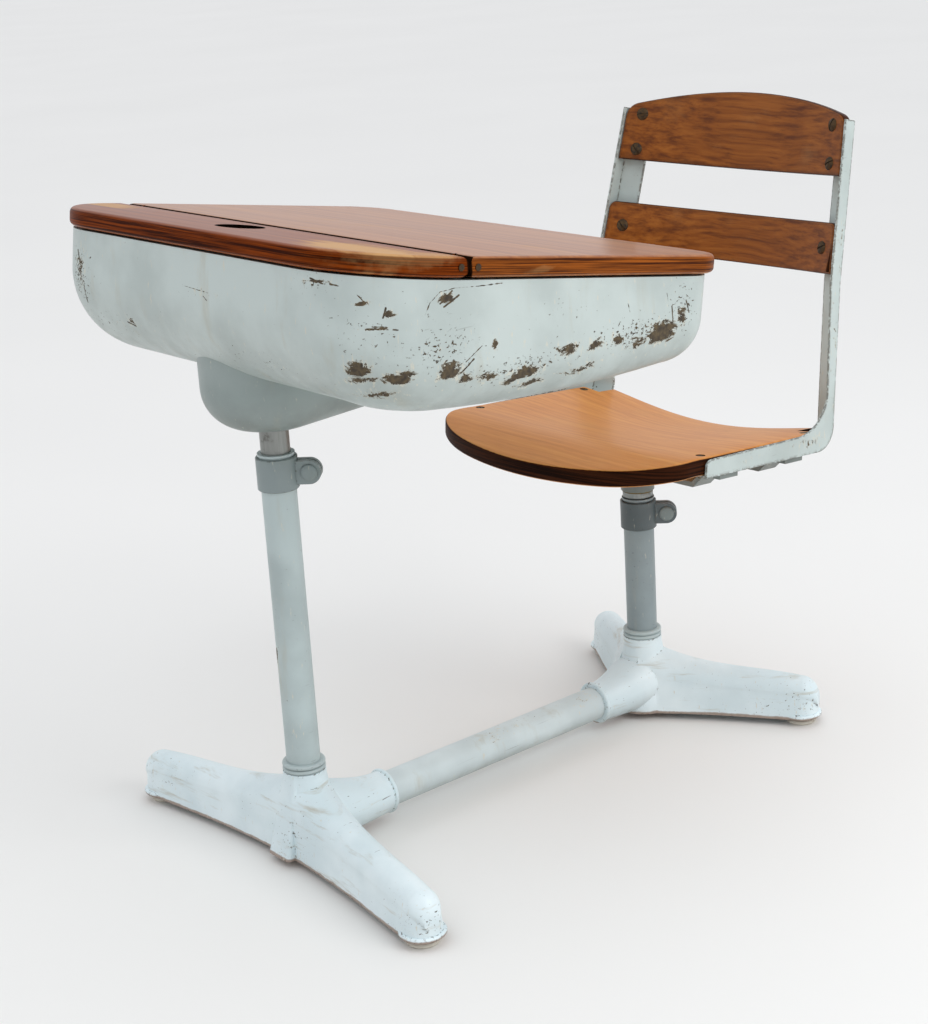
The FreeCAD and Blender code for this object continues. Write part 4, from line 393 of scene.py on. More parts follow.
enamel = {"paint": "#C7D2CF", "paintDeep": "#B7C2BF", "stainColour": "#B5B09C", "stain": 0.42,
          "runMm": (26, 26, 150), "rubFrom": 0.66, "iron": "#3A3228", "rust": "#5E5039",
          "undercoat": "#D8D2BF", "underShadeAndGrimeColour": "#6E7068", "underShadeAndGrime": 0.5, "gloss": 0.34, "scratches": 0.7,
          "chipLevel": 0.77, "flakeMm": (16, 22, 10), "skinMm": 9.0, "skinDepth": 0.00012, "wornPlaces": [],
          "fleckPlaces": [], "fleckMm": (3.5, 4.5, 3.0), "fleckLevel": 0.765, "edgeMm": 0.0,
          "edgeWear": 0.0, "strokes": [], "rustBelowMm": 0.0}

# worn places: middle and reach along x, y and z in millimetres, and strength; first those of the book box
panWear = [
    ((257, -413, 614), (29, 22, 18), 0.44), ((283, -387, 604), (26, 33, 12), 0.48),
    ((257, -411, 603), (36, 30, 11), 0.32), ((300, -339, 604), (24, 25, 14), 0.46),
    ((299, -321, 594), (24, 18, 9), 0.4), ((299, -293, 589), (24, 20, 9), 0.4),
    ((299, -246, 584), (24, 35, 11), 0.48), ((297, -265, 579), (24, 20, 8), 0.38),
    ((301, -190, 597), (24, 30, 11), 0.38), ((301, -155, 593), (24, 30, 11), 0.36),
    ((301, -122, 593), (24, 15, 11), 0.38), ((301, -60, 588), (24, 33, 19), 0.58),
    ((301, -98, 584), (24, 27, 11), 0.36), ((296, -172, 572), (24, 50, 11), 0.28),
    ((293, -238, 571), (24, 45, 9), 0.32), ((262, -395, 587), (48, 45, 11), 0.28),
    ((301, -284, 619), (24, 7, 11), 0.42), ((300, -338, 674), (24, 19, 9), 0.4),
    ((301, -29, 600), (24, 15, 22), 0.36), ((270, -402, 652), (24, 22, 3), 0.42),
    ((278, -391, 665), (12, 10, 7), 0.38), ((262, -407, 676), (17, 13, 5), 0.38),
    ((219, -427, 695), (36, 13, 3), 0.36), ((-202, -434, 666), (19, 13, 41), 0.3),
    ((-114, -430, 615), (14, 13, 9), 0.32), ((40, -435, 667), (36, 13, 8), 0.24),
    ((-300, -250, 585), (24, 150, 24), 0.28), ((-300, -80, 590), (24, 75, 27), 0.34),
    ((0, 28, 590), (336, 25, 27), 0.26), ((-255, -413, 610), (48, 37, 30), 0.32),
    ((120, -300, 552), (144, 112, 27), 0.2), ((-140, -120, 560), (144, 150, 41), 0.22)]
panFlecks = [
    ((262, -405, 650), (70, 60, 50), 0.13), ((296, -345, 625), (35, 70, 45), 0.2),
    ((301, -250, 590), (30, 120, 24), 0.2), ((301, -100, 595), (30, 110, 30), 0.21),
    ((301, -30, 610), (30, 35, 50), 0.2), ((-205, -434, 655), (40, 30, 60), 0.2),
    ((30, -436, 664), (50, 20, 12), 0.12), ((100, -410, 600), (200, 60, 40), 0.1),
    ((220, -427, 692), (60, 20, 20), 0.13), ((301, -200, 640), (30, 100, 40), 0.09),
    ((-301, -200, 600), (30, 220, 40), 0.19), ((0, 30, 590), (330, 30, 40), 0.17),
    ((-200, -420, 610), (120, 50, 30), 0.13)]
# dragged scratches of the book box: start, end and half width in millimetres; the first five make one hook
panStrokes = [
    ((294.3, -361.2, 660.8), (295.6, -355.5, 671.1), 0.3),
    ((295.6, -355.5, 671.1), (298.1, -344.9, 679.7), 0.3),
    ((298.1, -344.9, 679.7), (300.6, -328.8, 680.9), 0.3), ((300.6, -328.8, 680.9), (301, -299, 677.7), 0.2),
    ((301, -299, 677.7), (301, -271.7, 675.8), 0.3), ((298.3, -345.9, 668.8), (300.2, -332.4, 678.7), 0.9),
    ((299.1, -342.1, 665.4), (300.8, -324.8, 673.7), 1.0),
    ((266.1, -406.3, 652.4), (283.5, -385.2, 649.8), 0.5),
    ((268.7, -403.5, 654.1), (277.1, -393.9, 653.4), 0.5), ((301, -321.3, 609.5), (301, -300.7, 620.8), 0.4),
    ((300.3, -327.6, 600.1), (301, -311.4, 610.4), 0.9),
    ((212.5, -428.2, 697.5), (227.1, -424.6, 692.9), 0.6),
    ((234, -421.7, 693.2), (241.4, -418.3, 691.6), 0.7),
    ((257.2, -409.2, 683.5), (263.2, -405.3, 676.1), 0.4),
    ((275.1, -395, 661.8), (276.5, -391.9, 670.7), 0.8), ((301, -51.3, 627.4), (301, -48.9, 611.5), 0.2),
    ((301, -44.5, 612.8), (301, -43.7, 596), 0.6), ((301, -107.1, 627.1), (301, -104.7, 617.5), 0.2),
    ((301, -23.8, 615.3), (301, -19.7, 602), 0.6), ((6.7, -435.6, 667.9), (48.6, -436, 665.7), 0.1),
    ((39.8, -436.6, 661.8), (47, -437, 657.7), 0.3), ((-123.5, -429.9, 613.3), (-110.3, -428.5, 610.5), 1.0),
    ((-210.5, -431.1, 681.8), (-203.6, -434.2, 669.9), 1.1),
    ((-195.4, -437.2, 646.2), (-196.5, -434.2, 626.9), 0.9)]
panEnamel = agedEnamel("panEnamelOverSteel", dict(
    enamel, wornPlaces=panWear, fleckPlaces=panFlecks, strokes=panStrokes, scratches=0.25,
    chipLevel=0.735, flakeMm=(12, 16, 7), fleckLevel=0.735, rubFrom=0.64))
castWear = [
    ((258, -384, 30), (50, 40, 30), 0.14), ((-240, -380, 35), (50, 40, 30), 0.16),
    ((0, -270, 50), (50, 20, 50), 0.16), ((173, 300, 30), (50, 50, 30), 0.16),
    ((-173, 300, 30), (50, 50, 30), 0.16), ((0, 90, 50), (50, 20, 50), 0.2),
    ((10, -380, 15), (60, 20, 16), 0.2)]
castFlecks = [
    ((267, -384, 30), (90, 80, 40), 0.13), ((-250, -380, 35), (90, 80, 40), 0.13),
    ((20, -380, 40), (60, 60, 60), 0.12), ((173, 290, 30), (90, 80, 40), 0.13),
    ((-173, 290, 30), (90, 80, 40), 0.13), ((0, 90, 60), (70, 50, 50), 0.14)]
# painted light: the base's enamel is paler than the box's, for the sky light on its faces that look up
paleLitCastEnamel = agedEnamel("brushedEnamelOnCastIronPaintedSkyLit", dict(
    enamel, paint="#EDF9FC", paintDeep="#DBEAEE", stain=0.75, runMm=(70, 70, 8), fleckLevel=0.735,
    skinMm=14.0, skinDepth=0.0005, chipLevel=0.76, underShadeAndGrime=0.6, flakeMm=(9, 9, 6), wornPlaces=castWear,
    fleckPlaces=castFlecks, edgeMm=3.0, edgeWear=0.17, rustBelowMm=13.0))
tubeWear = [
    ((-7, -360, 245), (7, 20, 26), 0.42), ((12, -356, 170), (12, 20, 40), 0.18),
    ((20, -340, 300), (20, 20, 60), 0.14), ((10, -70, 55), (30, 60, 30), 0.2),
    ((10, 80, 55), (30, 40, 30), 0.22), ((0, 196, 150), (22, 22, 40), 0.14)]
tubeFlecks = [
    ((0, -340, 300), (50, 50, 260), 0.11), ((0, -50, 75), (50, 160, 40), 0.15),
    ((0, 196, 200), (50, 50, 150), 0.13)]
tubeEnamel = agedEnamel("enamelOnSteelTube", dict(
    enamel, paint="#BECCCC", paintDeep="#AEBBBB", chipLevel=0.78, scratches=0.4, flakeMm=(6, 12, 12),
    wornPlaces=tubeWear, fleckPlaces=tubeFlecks))
frameWear = [
    ((200, 190, 378), (20, 90, 14), 0.16), ((197, 290, 374), (20, 50, 20), 0.22),
    ((186, 344, 480), (22, 20, 120), 0.18), ((183, 370, 600), (22, 30, 120), 0.18),
    ((-186, 344, 500), (30, 30, 160), 0.14)]
frameFlecks = [
    ((195, 250, 380), (30, 180, 30), 0.13), ((186, 360, 520), (30, 50, 200), 0.13),
    ((-190, 300, 450), (40, 200, 250), 0.12)]
frameEnamel = agedEnamel("enamelOnStampedSteel", dict(
    enamel, chipLevel=0.74, flakeMm=(7, 9, 11), wornPlaces=frameWear, fleckPlaces=frameFlecks, edgeMm=4.0,
    edgeWear=0.33, fleckMm=(3.5, 6.0, 5.0), fleckLevel=0.775))
# painted shade: the clamps' enamel, and their bolt heads', is darkened to the tone they show in the shade
# under the desk
shadedClampEnamel = agedEnamel("shadedEnamelOnClampCasting", dict(
    enamel, paint="#8C9899", paintDeep="#7A8682", chipLevel=0.75, flakeMm=(7, 7, 7), underShadeAndGrime=0.7,
    edgeMm=1.5, edgeWear=0.24))
# painted light: the beam's enamel is paler than the columns', for the light it takes from above
litBeamEnamel = agedEnamel("enamelOnBeamTubePaintedLit", dict(
    enamel, paint="#DCE7E8", paintDeep="#CBD6D7", chipLevel=0.77, scratches=0.5, flakeMm=(9, 16, 9),
    wornPlaces=tubeWear, fleckPlaces=tubeFlecks, stain=0.45))
# painted shade: the seat column, the seat clamp and the pedestal housing get the one enamel darkened to their
# tone in the shade of the desk and the seat
shadedSeatColumnEnamel = agedEnamel("shadedEnamelOnSeatColumn", dict(
    enamel, paint="#98A5A8", paintDeep="#899699", fleckPlaces=tubeFlecks))
shadedSeatClampEnamel = agedEnamel("shadedEnamelOnSeatClamp", dict(
    enamel, paint="#636E71", paintDeep="#545F62", underShadeAndGrime=0.7, edgeMm=1.5, edgeWear=0.24))
shadedHousingEnamel = agedEnamel("shadedEnamelOnHousing", dict(
    enamel, paint="#9AA6A4", paintDeep="#8A9694", scratches=0.3, underShadeAndGrime=0.7))
# painted shade: the seat bracket's enamel is darkened to its tone in the shade under the seat
shadedBracketEnamel = agedEnamel("shadedEnamelOnBracket", dict(
    enamel, paint="#7F8783", paintDeep="#6C736F", stain=0.6, underShadeAndGrime=0.9, chipLevel=0.72, edgeMm=1.5,
    edgeWear=0.2))
print("enamel made")


# varnished wood

def varnishedBoard(name, look):
    # Rotary-cut hardwood under old spirit varnish. The eye sees an orange body with long darker streaks, fine
    # pores along the grain, blotches where the varnish has worn or darkened, and plies along the edges.
    material, tree, shader = blankMaterial(name)
    coords = addNode(tree, "TexCoord").node.outputs
    board = addNode(tree, "Mapping", {"Vector": coords["Object"],
                                      "Rotation": (math.radians(look["tilt"]), 0, 0)})
    warp = addNode(tree, "TexNoise", {"Vector": board, "Scale": perMm(120)[0], "Detail": 2.0}, output="Color")
    bent = addNode(tree, "VectorMath", {0: warp, 1: (look["waveMm"] / 1000,) * 3, 2: board},
                   operation="MULTIPLY_ADD")
    streak = stretchedNoise(tree, bent, look["streakMm"], 5.0, 0.55)
    body = addNode(tree, "ValToRGB", {0: streak})
    ramp = body.node.color_ramp
    ramp.elements[0].position, ramp.elements[0].color = 0.30, hexColour(look["dark"])
    ramp.elements[1].position, ramp.elements[1].color = 0.70, hexColour(look["light"])
    ramp.elements.new(0.5).color = hexColour(look["middle"])
    pore = stretchedNoise(tree, bent, (38, 1.6, 1.6), 2.0)
    poreMask = addNode(tree, "MapRange", {0: pore, 1: 0.56, 2: 0.74, 4: look["pores"]})
    colour = addNode(tree, "Mix", {0: poreMask, 6: body, 7: hexColour(look["pore"])}, data_type="RGBA")

    # blotches: pale where the varnish is thin, brown where it has gathered dirt
    blotch = addNode(tree, "TexNoise", {"Vector": board, "Scale": perMm(75)[0], "Detail": 6.0,
                                        "Roughness": 0.6, "Distortion": 0.3})
    pale = addNode(tree, "MapRange", {0: blotch, 1: 0.55, 2: 0.74, 4: look["wear"]},
                   interpolation_type="SMOOTHSTEP")
    bareEdge = 0.0
    for centreMm, reachMm, strength in look["wornPlaces"]:
        span = reachShare(tree, coords["Object"], centreMm, reachMm)
        ragged = addNode(tree, "Math", {0: blotch, 1: -1.0, 2: span}, operation="MULTIPLY_ADD")
        ragged = addNode(tree, "Math", {0: streak, 1: -1.2, 2: ragged}, operation="MULTIPLY_ADD")
        near = addNode(tree, "MapRange", {0: ragged, 1: 0.0, 2: -0.7, 4: strength},
                       interpolation_type="SMOOTHSTEP")
        pale = addNode(tree, "Math", {0: pale, 1: near}, operation="MAXIMUM")
        bareEdge = addNode(tree, "Math", {0: bareEdge, 1: near}, operation="MAXIMUM")
    colour = addNode(tree, "Mix", {0: pale, 6: colour, 7: hexColour(look["worn"])}, data_type="RGBA")
    dull = addNode(tree, "MapRange", {0: blotch, 1: 0.42, 2: 0.25, 4: look["dirt"]},
                   interpolation_type="SMOOTHSTEP")
    colour = addNode(tree, "Mix", {0: dull, 6: colour, 7: hexColour(look["dark"])}, data_type="RGBA")

    # edges: where the surface turns from the face, plies show as lines parallel to the face
    facing = addNode(tree, "VectorMath", {0: coords["Normal"], 1: look["face"]}, operation="DOT_PRODUCT")
    facing = addNode(tree, "Math", {0: facing}, operation="ABSOLUTE")
    edge = addNode(tree, "MapRange", {0: facing, 1: look["edgeFrom"], 2: look["edgeFrom"] - 0.25},
                   interpolation_type="SMOOTHSTEP")
    # turned is 1 from where the face starts to round over, sideways 0 on the board's side ends
    turned = addNode(tree, "MapRange", {0: facing, 1: 0.985, 2: 0.93})
    sideways = addNode(tree, "SeparateXYZ", {0: coords["Normal"]}, output="X")
    sideways = addNode(tree, "Math", {0: sideways}, operation="ABSOLUTE")
    sideways = addNode(tree, "MapRange", {0: sideways, 1: 0.5, 2: 0.3})
    ply = stretchedNoise(tree, board, look["plyMm"], 4.0, 0.65)
    plyRange = addNode(tree, "MapRange", {0: ply, 1: 0.40, 2: 0.62})
    plyColour = addNode(tree, "Mix", {0: plyRange, 6: hexColour(look["edgeDark"]),
                                      7: hexColour(look["edge"])}, data_type="RGBA")
    colour = addNode(tree, "Mix", {0: edge, 6: colour, 7: plyColour}, data_type="RGBA")
    inky = strongestPull(tree, coords["Object"], [look["inkPlace"]])
    inky = addNode(tree, "Math", {0: inky, 1: edge}, operation="MULTIPLY")
    colour = addNode(tree, "Mix", {0: inky, 6: colour, 7: hexColour("#0D0906")}, data_type="RGBA")
    # the board in front of the joint is darker
    across = addNode(tree, "SeparateXYZ", {0: coords["Object"]}, output="Y")
    rail = addNode(tree, "Math", {0: across, 1: look["railEnd"]}, operation="LESS_THAN")
    railTone = addNode(tree, "Mix", {0: look["railShade"], 6: colour, 7: hexColour(look["railColour"])},
                       data_type="RGBA", blend_type="MULTIPLY")
    colour = addNode(tree, "Mix", {0: rail, 6: colour, 7: railTone}, data_type="RGBA")
    faceShare = addNode(tree, "Math", {0: edge, 1: -0.7, 2: 1.0}, operation="MULTIPLY_ADD")
    bareEdge = addNode(tree, "Math", {0: bareEdge, 1: faceShare}, operation="MULTIPLY")
    colour = addNode(tree, "Mix", {0: bareEdge, 6: colour, 7: hexColour(look["worn"])}, data_type="RGBA")
    # dark within three millimetres of the joint, and painted shade within ten where the boards round over
    # into the groove beside it
    joint = addNode(tree, "Math", {0: across, 1: look["railEnd"]}, operation="SUBTRACT")
    joint = addNode(tree, "Math", {0: joint}, operation="ABSOLUTE")
    joint = addNode(tree, "Math", {0: blotch, 1: 0.002, 2: joint}, operation="MULTIPLY_ADD")
    grooveShade = addNode(tree, "MapRange", {0: joint, 1: 0.0120, 2: 0.0100})
    grooveShade = addNode(tree, "Math", {0: grooveShade, 1: turned}, operation="MULTIPLY")
    grooveShade = addNode(tree, "Math", {0: grooveShade, 1: sideways}, operation="MULTIPLY")
    joint = addNode(tree, "MapRange", {0: joint, 1: 0.0046, 2: 0.0030})
    joint = addNode(tree, "Math", {0: joint, 1: grooveShade}, operation="MAXIMUM")
    colour = addNode(tree, "Mix", {0: joint, 6: colour, 7: hexColour("#1A0D06")}, data_type="RGBA")
    if look["rimMm"] > 0:  # varnish darkened round the rim
        turn = edgeTurn(tree, look["rimMm"])
        rim = addNode(tree, "MapRange", {0: turn, 1: 0.999, 2: 0.93, 4: 0.75})
        rim = addNode(tree, "Math", {0: rim, 1: blotch}, operation="MULTIPLY")
        rim = addNode(tree, "Math", {0: rim, 1: 1.6}, operation="MULTIPLY", use_clamp=True)
        colour = addNode(tree, "Mix", {0: rim, 6: colour, 7: hexColour(look["edgeDark"])},
                         data_type="RGBA")
    tree.links.new(colour, shader.inputs["Base Color"])
    # coat and shine: less on the front board and along the edges, none in the joint
    coated = addNode(tree, "Math", {0: rail, 1: -0.55, 2: 1.0}, operation="MULTIPLY_ADD")
    share = addNode(tree, "Math", {0: edge, 1: -0.85, 2: 1.0}, operation="MULTIPLY_ADD")
    coated = addNode(tree, "Math", {0: coated, 1: share}, operation="MULTIPLY")
    share = addNode(tree, "Math", {0: 1.0, 1: joint}, operation="SUBTRACT")
    coated = addNode(tree, "Math", {0: coated, 1: share}, operation="MULTIPLY")
    coat = addNode(tree, "Math", {0: coated, 1: look["coat"]}, operation="MULTIPLY")
    tree.links.new(coat, shader.inputs["Coat Weight"])
    shine = addNode(tree, "Math", {0: coated, 1: look["shine"]}, operation="MULTIPLY")
    tree.links.new(shine, shader.inputs["Specular IOR Level"])
    rough = addNode(tree, "MapRange", {0: pale, 1: 0.0, 2: 0.8, 3: look["gloss"], 4: 0.55})
    tree.links.new(rough, shader.inputs["Roughness"])
    shader.inputs["IOR"].default_value = 1.45
    shader.inputs["Coat Roughness"].default_value = 0.22
    grooves = addNode(tree, "Math", {0: pore, 1: -0.00008}, operation="MULTIPLY")
    relief = addNode(tree, "Math", {0: streak, 1: 0.00012, 2: grooves}, operation="MULTIPLY_ADD")
    bump = addNode(tree, "Bump", {"Height": relief, "Distance": 1.0, "Strength": 0.5})
    tree.links.new(bump, shader.inputs["Normal"])
    return material


boardLook = {"tilt": 9.0, "face": (0, 0.156, 0.988), "light": "#B2713A", "middle": "#A3622F",
             "dark": "#8C4E24", "pore": "#7A4526", "pores": 0.3, "worn": "#D0A56F", "wear": 0.2,
             "dirt": 0.25, "streakMm": (700, 9, 9), "waveMm": 7.0, "edge": "#A0561A", "edgeDark": "#3E1A07",
             "edgeFrom": 0.80, "plyMm": (160, 160, 2.4), "gloss": 0.36, "coat": 0.25, "shine": 0.35,
             "railEnd": -0.3134, "railShade": 0.75, "railColour": "#C99667",
             "inkPlace": ((0, -361, 700), (50, 50, 50), 6.0), "rimMm": 0.0,
             "wornPlaces": [((232, -378, 719), (105, 45, 20), 0.75), ((290, -350, 712), (35, 40, 12), 0.5),
                            ((-262, -356, 716), (50, 30, 20), 0.6), ((305, -225, 681), (5, 22, 4), 0.5)]}


topWood = varnishedBoard("varnishedDeskTop", boardLook)
seatWood = varnishedBoard("varnishedSeatPly", dict(
    boardLook, tilt=4.9, face=(0, 0.085, 0.996), light="#DD974E", middle="#D58C46", dark="#CA8140",
    edge="#41200F", edgeDark="#1D0C05", pores=0.2, wear=0.22, streakMm=(300, 7, 7), waveMm=8.0, shine=0.2,
    coat=0.12, gloss=0.45, railEnd=-9.0, wornPlaces=[]))
backWood = varnishedBoard("varnishedBackPly", dict(
    boardLook, tilt=-77.5, face=(0, -0.976, 0.216), light="#A15F22", middle="#8A4C16", dark="#5F2E0A",
    pore="#45200A", pores=0.35, shine=0.2, coat=0.12, railEnd=-9.0, edge="#552A0E", edgeDark="#2E1405",
    wear=0.1, dirt=0.3, streakMm=(260, 6, 6), waveMm=14.0, wornPlaces=[], rimMm=7.0))
print("wood made")


# metals and small parts

def wornMetal(name, look):
    # Bare metal with age. The eye sees a soft, slightly brushed reflection broken by dull oxide blotches.
    material, tree, shader = blankMaterial(name)
    place = addNode(tree, "TexCoord", output="Object")
    blotch = addNode(tree, "TexNoise", {"Vector": place, "Scale": perMm(look["blotchMm"])[0],
                                        "Detail": 6.0, "Roughness": 0.65})
    oxide = addNode(tree, "MapRange", {0: blotch, 1: look["oxideFrom"], 2: look["oxideFrom"] + 0.16},
                    interpolation_type="SMOOTHSTEP")
    brush = stretchedNoise(tree, place, look["brushMm"], 3.0)
    metal = addNode(tree, "Mix", {0: brush, 6: hexColour(look["metal"]), 7: hexColour(look["metalDark"])},
                    data_type="RGBA")
    colour = addNode(tree, "Mix", {0: oxide, 6: metal, 7: hexColour(look["oxide"])}, data_type="RGBA")
    tree.links.new(colour, shader.inputs["Base Color"])
    metallic = addNode(tree, "MapRange", {0: oxide, 3: look["metallic"], 4: look["metallic"] * 0.35})
    tree.links.new(metallic, shader.inputs["Metallic"])
    rough = addNode(tree, "MapRange", {0: oxide, 3: look["rough"], 4: 0.72})
    tree.links.new(rough, shader.inputs["Roughness"])
    relief = addNode(tree, "Math", {0: brush, 1: 0.00005}, operation="MULTIPLY")
    bump = addNode(tree, "Bump", {"Height": relief, "Distance": 1.0, "Strength": 0.5})
    tree.links.new(bump, shader.inputs["Normal"])
    return material


metalLook = {"metal": "#9A9C99", "metalDark": "#7C7E7B", "oxide": "#5B5750", "blotchMm": 22.0,
             "oxideFrom": 0.52, "brushMm": (1.5, 1.5, 30), "metallic": 1.0, "rough": 0.38}
stemSteel = wornMetal("drawnSteelTube", metalLook)
plainSteel = wornMetal("plainSteelHardware", dict(metalLook, metal="#85847E", oxide="#4C4034", blotchMm=6.0))
pinSteel = wornMetal("brownedSteelPin", dict(
    metalLook, metal="#5A4A38", metalDark="#42352A", oxide="#2E241C", brushMm=(30, 1, 1), blotchMm=7.0,
    oxideFrom=0.5))
bronze = wornMetal("tarnishedBronze", dict(
    metalLook, metal="#5E4A32", metalDark="#3F3122", oxide="#2A2119", blotchMm=5.0, oxideFrom=0.48,
    brushMm=(3, 3, 3), metallic=0.85, rough=0.42))
screwBrass = wornMetal("agedBrassScrew", dict(
    metalLook, metal="#7E6C46", metalDark="#5C4E34", oxide="#3F3526", blotchMm=4.0, oxideFrom=0.5,
    brushMm=(2, 2, 2), rough=0.4))
glideSteel = wornMetal("creamPaintedGlide", dict(
    metalLook, metal="#DCD8CC", metalDark="#CBC5B6", oxide="#8A6A4C", blotchMm=11.0, oxideFrom=0.56,
    brushMm=(9, 9, 3), metallic=0.0, rough=0.5))
fibre = wornMetal("pressedFibreWasher", dict(
    metalLook, metal="#5A3A2A", metalDark="#48301F", oxide="#3A281C", blotchMm=3.0, brushMm=(2, 2, 2),
    metallic=0.0, rough=0.7))
rubber = wornMetal("blackRubberBumper", dict(
    metalLook, metal="#2A2A2B", metalDark="#202021", oxide="#343332", blotchMm=3.0, brushMm=(1, 1, 1),
    metallic=0.0, rough=0.6))
print("metals made")


# turned hardware

def turnedPoints(profile, spokes):
    # surface of revolution about z: x = r cos a, y = r sin a, with (r, z) read from the profile; ends on the
    # axis close it
    profile = np.array(profile, float)
    angle = np.linspace(0, 2 * np.pi, spokes, endpoint=False)
    ring = np.stack([np.cos(angle), np.sin(angle)], -1)
    xy = profile[:, None, :1] * ring[None]
    z = np.broadcast_to(profile[:, None, 1:], (len(profile), spokes, 1))
    verts = np.concatenate([xy, z], -1).reshape(-1, 3)
    i, j = np.meshgrid(np.arange(len(profile) - 1), np.arange(spokes), indexing="ij")
    a, b = i * spokes + j, i * spokes + (j + 1) % spokes
    faces = np.stack([a, b, b + spokes, a + spokes], -1).reshape(-1, 4)
    return verts, faces


def smoothProfile(corners, steps=6):
    # rounds each inner corner of an (r, z, rounding) outline: a quadratic curve between the two points that
    # lie the rounding before and after it
    corners = np.array(corners, float)
    points = [corners[:1, :2]]
    for before, corner, after in zip(corners[:-2], corners[1:-1], corners[2:]):
        share = corner[2]
        towards = before[:2] - corner[:2]
        onwards = after[:2] - corner[:2]
        start = corner[:2] + towards / np.linalg.norm(towards) * share
        end = corner[:2] + onwards / np.linalg.norm(onwards) * share
        t = np.linspace(0, 1, steps if share > 0 else 1)[:, None]
        points.append(start * (1 - t) ** 2 + corner[:2] * 2 * t * (1 - t) + end * t ** 2)
    points.append(corners[-1:, :2])
    return np.concatenate(points)


def slottedHead(radius, height, slotWidth, slotDepth):
    # dome over a disc of chords: rows run across the slot, each row a chord from rim to rim, and
    # z = height * (1 - (r / radius) squared) to the power 0.7, less the slot's depth on the two middle rows;
    # a flat copy closes it below
    sideRows = 12  # on either side of the slot
    chordPoints = 27
    half = slotWidth / 2
    rows = np.concatenate([np.linspace(-radius, -half, sideRows), [-half, half],
                           np.linspace(half, radius, sideRows)])
    slotted = np.zeros(len(rows), bool)
    slotted[sideRows:sideRows + 2] = True
    t = np.linspace(-1, 1, chordPoints)
    y = np.repeat(rows[:, None], len(t), 1)
    x = t[None, :] * np.sqrt(np.clip(radius ** 2 - y ** 2, 0, None))
    dome = height * np.clip(1 - (x ** 2 + y ** 2) / radius ** 2, 0, None) ** 0.7
    z = np.where(slotted[:, None], np.clip(dome - slotDepth, 0, None), dome)
    top = np.stack([x, y, z], -1).reshape(-1, 3)
    low = np.stack([x, y, np.zeros_like(z)], -1).reshape(-1, 3)
    i, j = np.meshgrid(np.arange(len(rows) - 1), np.arange(len(t) - 1), indexing="ij")
    a = i * len(t) + j
    quads = np.stack([a, a + 1, a + len(t) + 1, a + len(t)], -1).reshape(-1, 4)
    return np.concatenate([top, low]), np.concatenate([quads, quads[:, ::-1] + len(top)])


def solidPoints(nodeName, axes=()):
    # the points of a CAD node, one array for each of its solids: along each of the named axes (0, 1 and 2 for
    # x, y and z) the middle of the node's box parts its solids, and they come in the order low to high
    mesh = nodes[nodeName].data
    points = np.empty(len(mesh.vertices) * 3)
    mesh.vertices.foreach_get("co", points)
    points = np.unique(points.reshape(-1, 3).round(6), axis=0)
    middle = (points.min(0) + points.max(0)) / 2
    side = np.zeros(len(points), int)
    for step, axis in enumerate(axes):
        side += (points[:, axis] > middle[axis]) * 2 ** step
    return [points[side == key] for key in range(2 ** len(axes))]


headReach = 0.0045  # metres; a bolt's points nearer to its end than this belong to its head


def axisOf(points, outward):
    # direction in which a bolt is longest, turned to point outward, a point on its middle line, and its two
    # ends along that direction from there
    middle = points.mean(0)
    axis = np.linalg.svd(points - middle, full_matrices=False)[2][0]
    axis = axis if axis @ outward > 0 else -axis
    along = (points - middle) @ axis
    rim = points[along > along.max() - headReach]
    wide = rim.mean(0)
    centre = wide - axis * ((wide - middle) @ axis)
    return axis, centre, ((points - centre) @ axis).min(), ((points - centre) @ axis).max()


def placed(points, axis, centre, level, turn):
    # moves a shape from the z axis to a bolt's axis, with its slot turned by an angle
    axis = np.array(axis)
    side = np.cross(axis, (0.0, 0.0, 1.0))
    side /= np.linalg.norm(side)
    up = np.cross(axis, side)
    c, s = math.cos(turn), math.sin(turn)
    across, upward = side * c + up * s, up * c - side * s
    return points[:, :1] * across + points[:, 1:2] * upward + (points[:, 2:] + level) * axis + centre


# bolts of the back, in metres; axes and turns are for the four of the crest
boltLook = {"headHeight": 0.0032, "slotWidth": 0.0015, "slotDepth": 0.0013, "shankRadius": 0.003,
            "bevel": 0.0006, "spokes": 20, "axes": (0, 2), "turns": (-0.9, 0.5, 0.1, 1.3)}


def slottedBolts(name, nodeName, material, look):
    # a domed slotted head on a shank with a bevelled end, in place of each bolt of a CAD node
    verts, faces, count = [], [], 0
    shankRadius, headHeight, bevel = look["shankRadius"], look["headHeight"], look["bevel"]
    for part, turn in zip(solidPoints(nodeName, look["axes"]), look["turns"]):
        axis, centre, low, high = axisOf(part, np.array((0.0, -1.0, 0.0)))
        radius = np.linalg.norm(np.cross(part - centre, axis), axis=1).max()
        headLow = high - headHeight
        head, headFaces = slottedHead(radius, headHeight, look["slotWidth"], look["slotDepth"])
        outline = [(0, low), (shankRadius * 0.75, low), (shankRadius, low + bevel), (shankRadius, headLow),
                   (0, headLow)]
        shank, shankFaces = turnedPoints(outline, look["spokes"])
        for points, quads, level in ((head, headFaces, headLow), (shank, shankFaces, 0.0)):
            verts.append(placed(points, axis, centre, level, turn))
            faces.append(quads + count)
            count += len(points)
    newPiece(name, nodeName, np.concatenate(verts), np.concatenate(faces), material)


slottedBolts("crestBolts", "crest_bolts", bronze, boltLook)
slottedBolts("slatBolts", "slat_bolts", bronze, dict(boltLook, axes=(0,)))


# floor glides: a turned disc with a rolled edge on a short neck, in metres as (radius, height, rounding)
glideLook = {"radius": 0.0182, "studRadius": 0.0050, "studFoot": 0.0095, "spokes": 56,
             "outline": [(0.0, 0.0, 0), (0.0168, 0.0, 0.0018), (0.0182, 0.0030, 0.0012),
                         (0.0168, 0.0056, 0.0010), (0.0098, 0.0066, 0.0008), (0.0080, 0.0090, 0.0)]}


